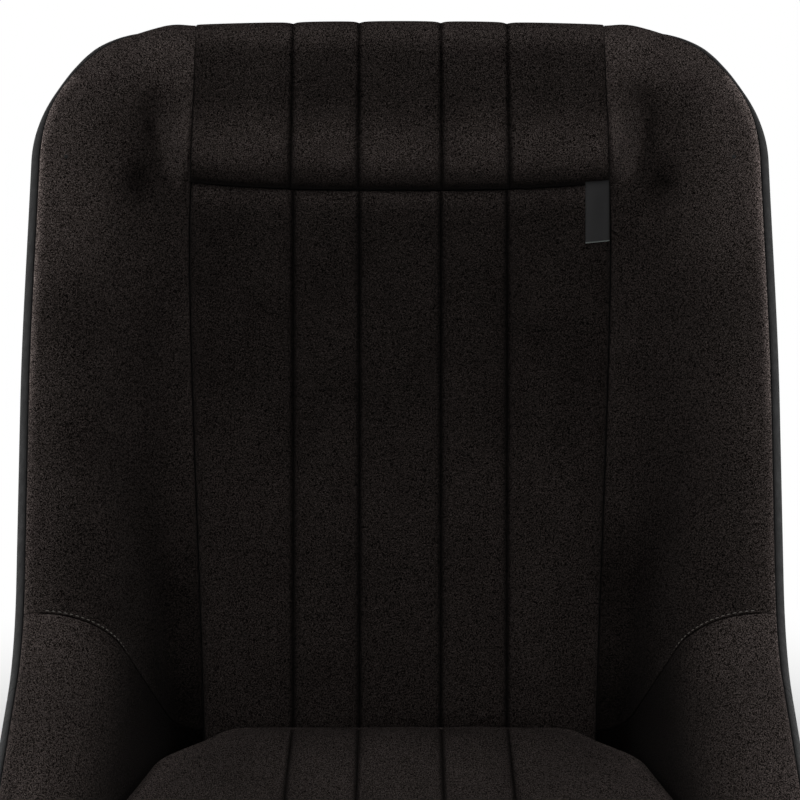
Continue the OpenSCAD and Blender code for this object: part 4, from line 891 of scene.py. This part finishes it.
for q in BACK_RING:
    t = -q
    arc = (1 - q) * ang * RIM_R
    h = (roll_swell(np.full(len(xs), t)) + arch + tuck(arc, 3.5, 2.6) - 1.0 * (1 - groove)
         + crease(xs, 0.6) - 0.6)
    h = np.where(under, h - UNDER_H, h)
    painted_shadings.append(np.full(len(xs), np.interp(t, *ROLL_PAINTED_SHADING)))
    pts_out.append(round_rim(frames, q * ang, RIM_R + h))
    pts_in.append(round_rim(frames, q * ang, np.full(len(xs), RIM_R - COVER_T)))
for t in t_front:
    s = t * (roll_seam(xs) - GAP)
    h = roll_swell(np.full(len(xs), t)) - mix(1.0, 6.0, t) * (1 - groove) - mix(0.6, SEAM_DEPTH, t)
    h = h + arch * (1 - ease(t / 0.7)) + 0.6 * np.sin(xs / 19.0 + 5 * t) * t * (1 - t) * 4 * groove
    h = h + crease(xs, mix(0.6, 5.0, t), 2.2)
    h = np.where(under, h - UNDER_H, h)
    painted_shadings.append(np.full(len(xs), np.interp(t, *ROLL_PAINTED_SHADING)))
    pts_out.append(above(u, s, h))
    pts_in.append(above(u, s, np.full(len(xs), -mix(COVER_T, LAYER, ease(t * 4)))))
seam = np.concatenate([np.tile(seam_gap(xs, TOP_X), len(BACK_RING))]
                      + [seam_gap(xs, TOP_X, 0.6 * ROLL_LEN * (1 - t)) for t in t_front])
roll = slab("shoulder_roll_flutes", np.array(pts_out), np.array(pts_in),
            {"seam": seam, "painted_shading": np.concatenate(painted_shadings)})
subdivide(roll)
finish_piece(roll, cloth, "seat", ("shoulder_roll",))

# ---- Label tab: a tape folded back on itself and sewn into the seam ------------------------
TAB_W, TAB_LONG, TAPE = 17.0, 42.0, 0.55
FRONT_N, FOLD_N, BEHIND_N, ACROSS_N = 26, 7, 18, 9
FOLD_R = 0.9
tab_edge = float(foot_x(ROLL_LEN)) - 0.5
tab_x = np.linspace(tab_edge - TAB_W, tab_edge, ACROSS_N)
bend = np.linspace(0.3, 2.84, FOLD_N)
run = np.concatenate([np.linspace(-3, TAB_LONG - FOLD_R, FRONT_N), TAB_LONG - FOLD_R + FOLD_R * np.sin(bend),
                      np.linspace(TAB_LONG - FOLD_R, 6, BEHIND_N)])
lift = np.concatenate([np.full(FRONT_N, 1.9), 1.0 + FOLD_R * np.cos(bend), np.full(BEHIND_N, 0.1)])
along, X = np.meshgrid(run, tab_x, indexing="ij")
rest = mix(5.4, 1.2, ease((X - tab_x[0]) / TAB_W) ** 1.3)
dip = np.sqrt(np.maximum(0, 1 - (1 - clamp((along + 3) / 15.0)) ** 2))
tab_h = mix(-5.0, rest, dip) + lift[:, None] + 0.35 * np.sin(along / 9.0 + X / 7.0) * dip
S = roll_seam(X) + along
front = above(X / foot_x(S), S, tab_h)
turn = np.gradient(front, axis=0)
side_n = unit(np.cross(np.gradient(front, axis=1), turn))
# Where the painted highlight along the fold lies.
at_fold = clamp(1 - np.abs(np.arange(len(run)) - (FRONT_N + FOLD_N // 2)) / 3.0)
tab = slab("label_tape", front, front - TAPE * side_n, {"fold": np.repeat(at_fold, ACROSS_N)})
finish_piece(tab, tape, "seat", ("label_tab",))

# ---- Cushion -------------------------------------------------------------------------------
BEND_MID = FACE_Z + BEND_R
BACK_CLEAR = FLUTE_H + 3.0
CUSH_BACK = PAN_BACK - (BEND_R - BACK_CLEAR) * 0.985
CUSH_FRONT = PAN_BACK + PAN_LEN + LIP_R * math.sin(LIP_TURN) - 12
EDGE_R = 16.0


def cushion_back(z):
    r = BEND_R - BACK_CLEAR
    d = np.clip(BEND_MID - z, 0, r)
    return np.where(z > BEND_MID - r, PAN_BACK - np.sqrt(np.maximum(0, r * r - d * d)), PAN_BACK + 3.0)


def cushion_top(f):
    return PAN_Z + mix(80.0, 112.0, (f - CUSH_BACK) / (CUSH_FRONT - CUSH_BACK))


CUSH_TOP = PAN_Z + 80.0
LEAN_LOW = FACE_Z + FOOT_R[1] / 3
BOARD_TOP = PAN_Z + 10.2         # underside of the foam, on the plywood


def cushion_side(f, z):
    return (foot_x(S_PAN + np.maximum(0, f - PAN_BACK)) - 3.0
            + 33.0 * ease((f - CUSH_BACK - 20.0) / 64.0) * clamp((z - LEAN_LOW) / (CUSH_TOP - LEAN_LOW)))


CUSH_HALF = float(cushion_side(0.0, CUSH_TOP))


def cushion_x(q, w):
    edge, a = FLUTE_OUT / CUSH_HALF, np.abs(q)
    return np.sign(q) * np.where(a <= edge, a * CUSH_HALF, mix(FLUTE_OUT, w, (a - edge) / (1 - edge)))


def plan(q, p, z, inset):
    """Place on the cushion's outline at height z, for q across and p from back to front."""
    fa, fb = cushion_back(z) + inset, CUSH_FRONT - inset
    f0 = mix(fa, fb, p)
    w = cushion_side(f0, z) - inset
    x0 = cushion_x(q, w)
    near = p < 0.5
    r = np.where(near, 26.0, 44.0) - inset / 2
    depth = np.where(near, r - (f0 - fa), r - (fb - f0))
    a, b = (np.abs(x0) - (w - r)) / r, depth / r
    inside = (a > 0) & (b > 0)
    a, b = np.where(inside, a, 0), np.where(inside, b, 0)
    x = np.sign(q) * (w - r + r * a * np.sqrt(1 - b * b / 2))
    f = f0 + np.where(near, 1, -1) * depth * (1 - np.sqrt(1 - a * a / 2))
    return np.where(inside, x, x0), np.where(inside, f, f0)


def cushion_piece():
    w0 = CUSH_HALF
    qs = flute_columns(w0, 9) / w0
    ps = np.concatenate([[0, 0.012, 0.03], np.linspace(0.055, 0.945, 34), [0.97, 0.988, 1]])
    Q, P = np.meshgrid(qs, ps)
    zt = cushion_top(CUSH_BACK)
    x, f = plan(Q, P, zt, EDGE_R)
    fade = np.sqrt(clamp(np.minimum(P, 1 - P) / 0.1))
    side = np.sqrt(np.maximum(0, 1 - Q ** 12))
    relief = fade * side * (flute(Q * w0, w0, FLUTE_H * 0.8, 2.2) + crease(Q * w0, 2.2))
    top = cushion_top(f) + 5 * (1 - Q ** 2) * fade + relief
    top = top + 0.7 * np.sin(f / 31.0 + x / 37.0) * fade * side
    outer = [np.stack([x, -f, top], -1).reshape(-1, 3)]
    route = border(*Q.shape)
    rq = np.array([qs[j] for i, j in route])
    rp = np.array([ps[i] for i, j in route])
    c0 = plan(rq, rp, zt, EDGE_R)
    ztop = cushion_top(c0[1])
    r = LIP_R + SHELL_IN
    d = np.maximum(0, c0[1] + EDGE_R - PAN_BACK - PAN_LEN)
    low = PAN_Z + r - np.sqrt(r * r - d * d) + 2 * GAP
    n = len(route)
    rings = []
    for a in np.radians([14, 30, 46, 62, 78, 90]):
        z = ztop - EDGE_R * (1 - math.cos(a))
        px, pf = plan(rq, rp, z, EDGE_R * (1 - math.sin(a)))
        rings.append(np.stack([px, -pf, z], -1))
    for t in np.linspace(0, 1, 11)[1:]:
        z = mix(ztop - EDGE_R, low, t)
        px, pf = plan(rq, rp, z, -math.sin(math.pi * t) + 1.5 * t ** 6)
        rings.append(np.stack([px, -pf, z], -1))
    for inset, z in ((7.0, low), (7.2, np.full(low.shape, BOARD_TOP))):
        px, pf = plan(rq, rp, z, inset)
        rings.append(np.stack([px, -pf, z], -1))
    outer += rings
    quads = grid_quads(*Q.shape)
    start = Q.size
    pi = np.array([i * len(qs) + j for i, j in route])
    ring = [pi] + [start + k * n + np.arange(n) for k in range(len(rings))]
    for a, b in zip(ring[:-1], ring[1:]):
        for i in range(n):
            j = (i + 1) % n
            quads.append((a[j], a[i], b[i], b[j]))
    verts = np.concatenate(outer)
    base = len(verts)
    level = np.full(Q.shape, BOARD_TOP)
    px, pf = plan(Q, P, level, 7.2)
    under = np.stack([px, -pf, level], -1).reshape(-1, 3)
    keep = np.ones(Q.shape, bool)
    keep[0, :] = keep[-1, :] = keep[:, 0] = keep[:, -1] = False
    idx = np.zeros(Q.shape, int)
    idx[keep] = base + np.arange(keep.sum())
    for k, (i, j) in enumerate(route):
        idx[i, j] = ring[-1][k]
    verts = np.concatenate([verts, under[keep.ravel()]])
    for i in range(Q.shape[0] - 1):
        for j in range(Q.shape[1] - 1):
            quads.append((idx[i, j], idx[i + 1, j], idx[i + 1, j + 1], idx[i, j + 1]))
    # Painted shade along the flute seams of the cushion's top.
    seam = np.full(len(verts), FAR)
    d = np.minimum(np.abs(np.abs(Q * w0) - FLUTE_IN), np.abs(np.abs(Q * w0) - FLUTE_OUT))
    seam[:Q.size] = np.where(fade > 0.05, d, FAR).ravel()
    # Painted light on the cushion: its rounded edge and its top painted paler, most towards the sides.
    painted_shading = np.full(len(verts), 0.3)
    painted_shading[Q.size:Q.size + 3 * n] = 2.0
    painted_shading[:Q.size] = (0.95 + 1.4 * np.abs(Q) ** 6).ravel()
    return make("cushion_pad", verts, quads, {"seam": seam, "painted_shading": painted_shading})


cushion = subdivide(cushion_piece())
finish_piece(cushion, cloth, "cushion", ("cushion_cover", "cushion_foam"))

# ---- Top stitching along the seam between wing and base cover ------------------------------
STITCH_PITCH, STITCH_LEN, STITCH_R = 4.2, 2.6, 0.32
STITCH_IN = 1.35                # u at which the stitches have sunk into the cloth


def stitches(name):
    """Short stitches that lie on the wing cover beside the seam, sinking into it away from the rim."""
    verts, quads = [], []
    n, around = 7, 8
    u = np.linspace(STITCH_IN, 1.985, 400)
    s = wing_seam(u) - GAP - 1.9
    d = np.concatenate([[0], np.cumsum(np.linalg.norm(np.diff(face(u, s), axis=0), axis=1))])
    for start in np.arange(0.0, d[-1] - 3.0, STITCH_PITCH):
        way = start + STITCH_LEN * np.linspace(0, 1, n)
        uu, ss = np.interp(way, d, u), np.interp(way, d, s)
        arch = np.sin(np.pi * np.linspace(0, 1, n)) ** 0.5
        sink = 0.75 * (1 - ease((uu - STITCH_IN) / 0.45))
        mid = above(uu, ss, -0.35 + 0.5 * arch - sink)
        along = unit(np.gradient(mid, axis=0))
        up = face_normal(uu, ss)
        side = unit(np.cross(along, up))
        base = len(verts)
        for k in range(n):
            r = STITCH_R * (0.35 + 0.65 * arch[k])
            for a in np.arange(around) * math.pi / 4:
                verts.append(mid[k] + r * (math.cos(a) * side[k] + math.sin(a) * up[k]))
        for k in range(n - 1):
            for j in range(around):
                a, b = base + around * k + j, base + around * k + (j + 1) % around
                quads.append((a, b, b + around, a + around))
        last = base + around * (n - 1)
        quads += [tuple(base + j for j in range(around - 1, -1, -1)), tuple(last + j for j in range(around))]
    return make(name, verts, quads)


TACK_PLACE = (1.915, 78.5)      # u and s


def tack(name):
    """Small domed head that holds the wing cover near the shoulder."""
    c, nrm = face(*TACK_PLACE), face_normal(*TACK_PLACE)
    side = unit(np.cross(nrm, [0.0, 0.0, 1.0]))
    up = np.cross(side, nrm)
    rings, k = ((0.6, 0.85), (1.1, 0.65), (1.45, 0.25), (1.5, -2.0)), 14
    verts = [c + 0.9 * nrm]
    for r, h in rings:
        verts += [c + h * nrm + r * (math.cos(a) * side + math.sin(a) * up)
                  for a in np.arange(k) * 2 * math.pi / k]
    quads = [(0, 1 + j, 1 + (j + 1) % k) for j in range(k)]
    for a in range(1, 1 + k * (len(rings) - 1), k):
        quads += [(a + j, a + k + j, a + k + (j + 1) % k, a + (j + 1) % k) for j in range(k)]
    quads.append(tuple(1 + k * (len(rings) - 1) + j for j in range(k - 1, -1, -1)))
    return make(name, verts, quads)


tack_left = tack("cover_tack_left")
for ob in (tack_left, mirrored(tack_left, "cover_tack_right")):
    finish_piece(ob, vinyl, "seat")

stitches_left = stitches("wing_stitches_left")
for ob in (stitches_left, mirrored(stitches_left, "wing_stitches_right")):
    finish_piece(ob, thread, "seat")

# ---- Leathercloth behind the shell ---------------------------------------------------------
VRING = np.array([0.15, 0.3, 0.45, 0.6, 0.74, 0.86, 0.94, 0.98, 1.0])


def vinyl_angles(u, s):
    return VRING[:, None] * (seam_angle(u, s) - math.pi)[None]


def vinyl_radius(h, fall):
    def radius(u, s):
        ang = np.abs(seam_angle(u, s) - math.pi)
        d = (1 - VRING[:, None]) * ang[None] * abs(RIM_R + h)
        return RIM_R + h - tuck(d, 2.2, fall)
    return radius


def vinyl_sheet(name, U, S, first, count):
    return subdivide(rimmed(name, U, S, first, count, np.full(U.shape, -SKIN_OUT), np.full(U.shape, -SKIN_IN),
                            vinyl_angles, vinyl_radius(-SKIN_OUT, 0.9), vinyl_radius(-SKIN_IN, 0.0)))


wu = np.linspace(1, 2, 19)
rear_u = np.concatenate([-np.linspace(2, 1, 19)[:-1], np.linspace(-1, 1, 9)[:-1], wu])
U, S = np.meshgrid(rear_u, np.linspace(0, S_PAN, 92))
rear = vinyl_sheet("rear_covering", U, S, 2 * U.shape[1] + U.shape[0] - 3, 2 * U.shape[0] + U.shape[1] - 2)
finish_piece(rear, vinyl, "seat", ("rear_cover",))
U, S = np.meshgrid(wu, np.linspace(S_PAN + GAP, S_END, 50))
side_left = vinyl_sheet("base_covering_left", U, S, U.shape[1] - 1, U.shape[0] + U.shape[1] - 1)
side_right = mirrored(side_left, "base_covering_right")
subdivide(side_right)
for ob, side in ((side_left, "left"), (side_right, "right")):
    finish_piece(ob, vinyl, "seat", ("base_side_cover_" + side,))

# ---- Stage, lights and camera --------------------------------------------------------------
scene = bpy.context.scene
scene.view_settings.view_transform = "Standard"


def seen_rays(nt):
    """1 for rays from the camera and for those that metal or glass sends on."""
    rays = node(nt, "LightPath").outputs
    first = rays["Is Camera Ray"]
    for other in ("Is Glossy Ray", "Is Transmission Ray"):
        first = node(nt, "Math", {0: first, 1: rays[other]}, operation="MAXIMUM").outputs[0]
    return first


floor_mesh = bpy.data.meshes.new("Floor")
floor_mesh.from_pydata([(-8, -8, 0), (8, -8, 0), (8, 8, 0), (-8, 8, 0)], [], [(0, 1, 2, 3)])
floor = link("Floor", floor_mesh)
mat, nt, b = new_material("Pale_floor")
put(nt, b, {"Base Color": (0.86, 0.86, 0.86, 1), "Roughness": 0.9, "Specular IOR Level": 0.1})
away = node(nt, "VectorMath", {0: position(nt)}, operation="LENGTH").outputs["Value"]
far = node(nt, "MapRange", {"Value": away, "From Min": 0.4, "From Max": 0.85},
           interpolation_type="SMOOTHSTEP").outputs[0]
seen = seen_rays(nt)
plain = node(nt, "Emission", {"Color": (1, 1, 1, 1), "Strength": 1.0}).outputs[0]
blend = node(nt, "MixShader", {0: node(nt, "Math", {0: far, 1: seen}, operation="MULTIPLY").outputs[0]})
nt.links.new(b.outputs[0], blend.inputs[1])
nt.links.new(plain, blend.inputs[2])
nt.links.new(blend.outputs[0], next(n for n in nt.nodes if n.type == "OUTPUT_MATERIAL").inputs[0])
floor.data.materials.append(mat)

world = bpy.data.worlds.new("Studio")
scene.world = world
world.use_nodes = True
wn = world.node_tree
wn.nodes.clear()
white = seen_rays(wn)
soft = node(wn, "Background", {"Color": (1, 1, 1, 1), "Strength": 0.1}).outputs[0]
plain = node(wn, "Background", {"Color": (1, 1, 1, 1), "Strength": 1.0}).outputs[0]
blend = node(wn, "MixShader", {0: white})
wn.links.new(soft, blend.inputs[1])
wn.links.new(plain, blend.inputs[2])
wn.links.new(blend.outputs[0], node(wn, "OutputWorld").inputs[0])


def aimed(ob, where, aim):
    ob.location = where
    ob.rotation_euler = (Vector(aim) - Vector(where)).to_track_quat("-Z", "Y").to_euler()
    return ob


def lamp(name, where, aim, size, power):
    data = bpy.data.lights.new(name, "AREA")
    data.shape = "RECTANGLE"
    data.size, data.size_y = size
    data.energy = power
    aimed(link(name, data), where, aim)


lamp("Key", (0.0, -2.6, 0.7), (0, 0.2, 0.35), (0.8, 1.8), 50)
lamp("Left", (-1.7, 0.3, 0.6), (0, 0.1, 0.35), (0.4, 1.0), 14)
lamp("Right", (1.7, 0.3, 0.6), (0, 0.1, 0.35), (0.4, 1.0), 14)
lamp("Top", (0.0, -0.5, 2.5), (0, -0.2, 0.2), (0.8, 1.2), 22)

cam = bpy.data.cameras.new("Camera")
cam.lens, cam.sensor_width = 160.7, 36.0
scene.camera = aimed(link("Camera", cam), (0.0, -2.1325, 1.0716), (0.0, 0.2963, 0.3358))
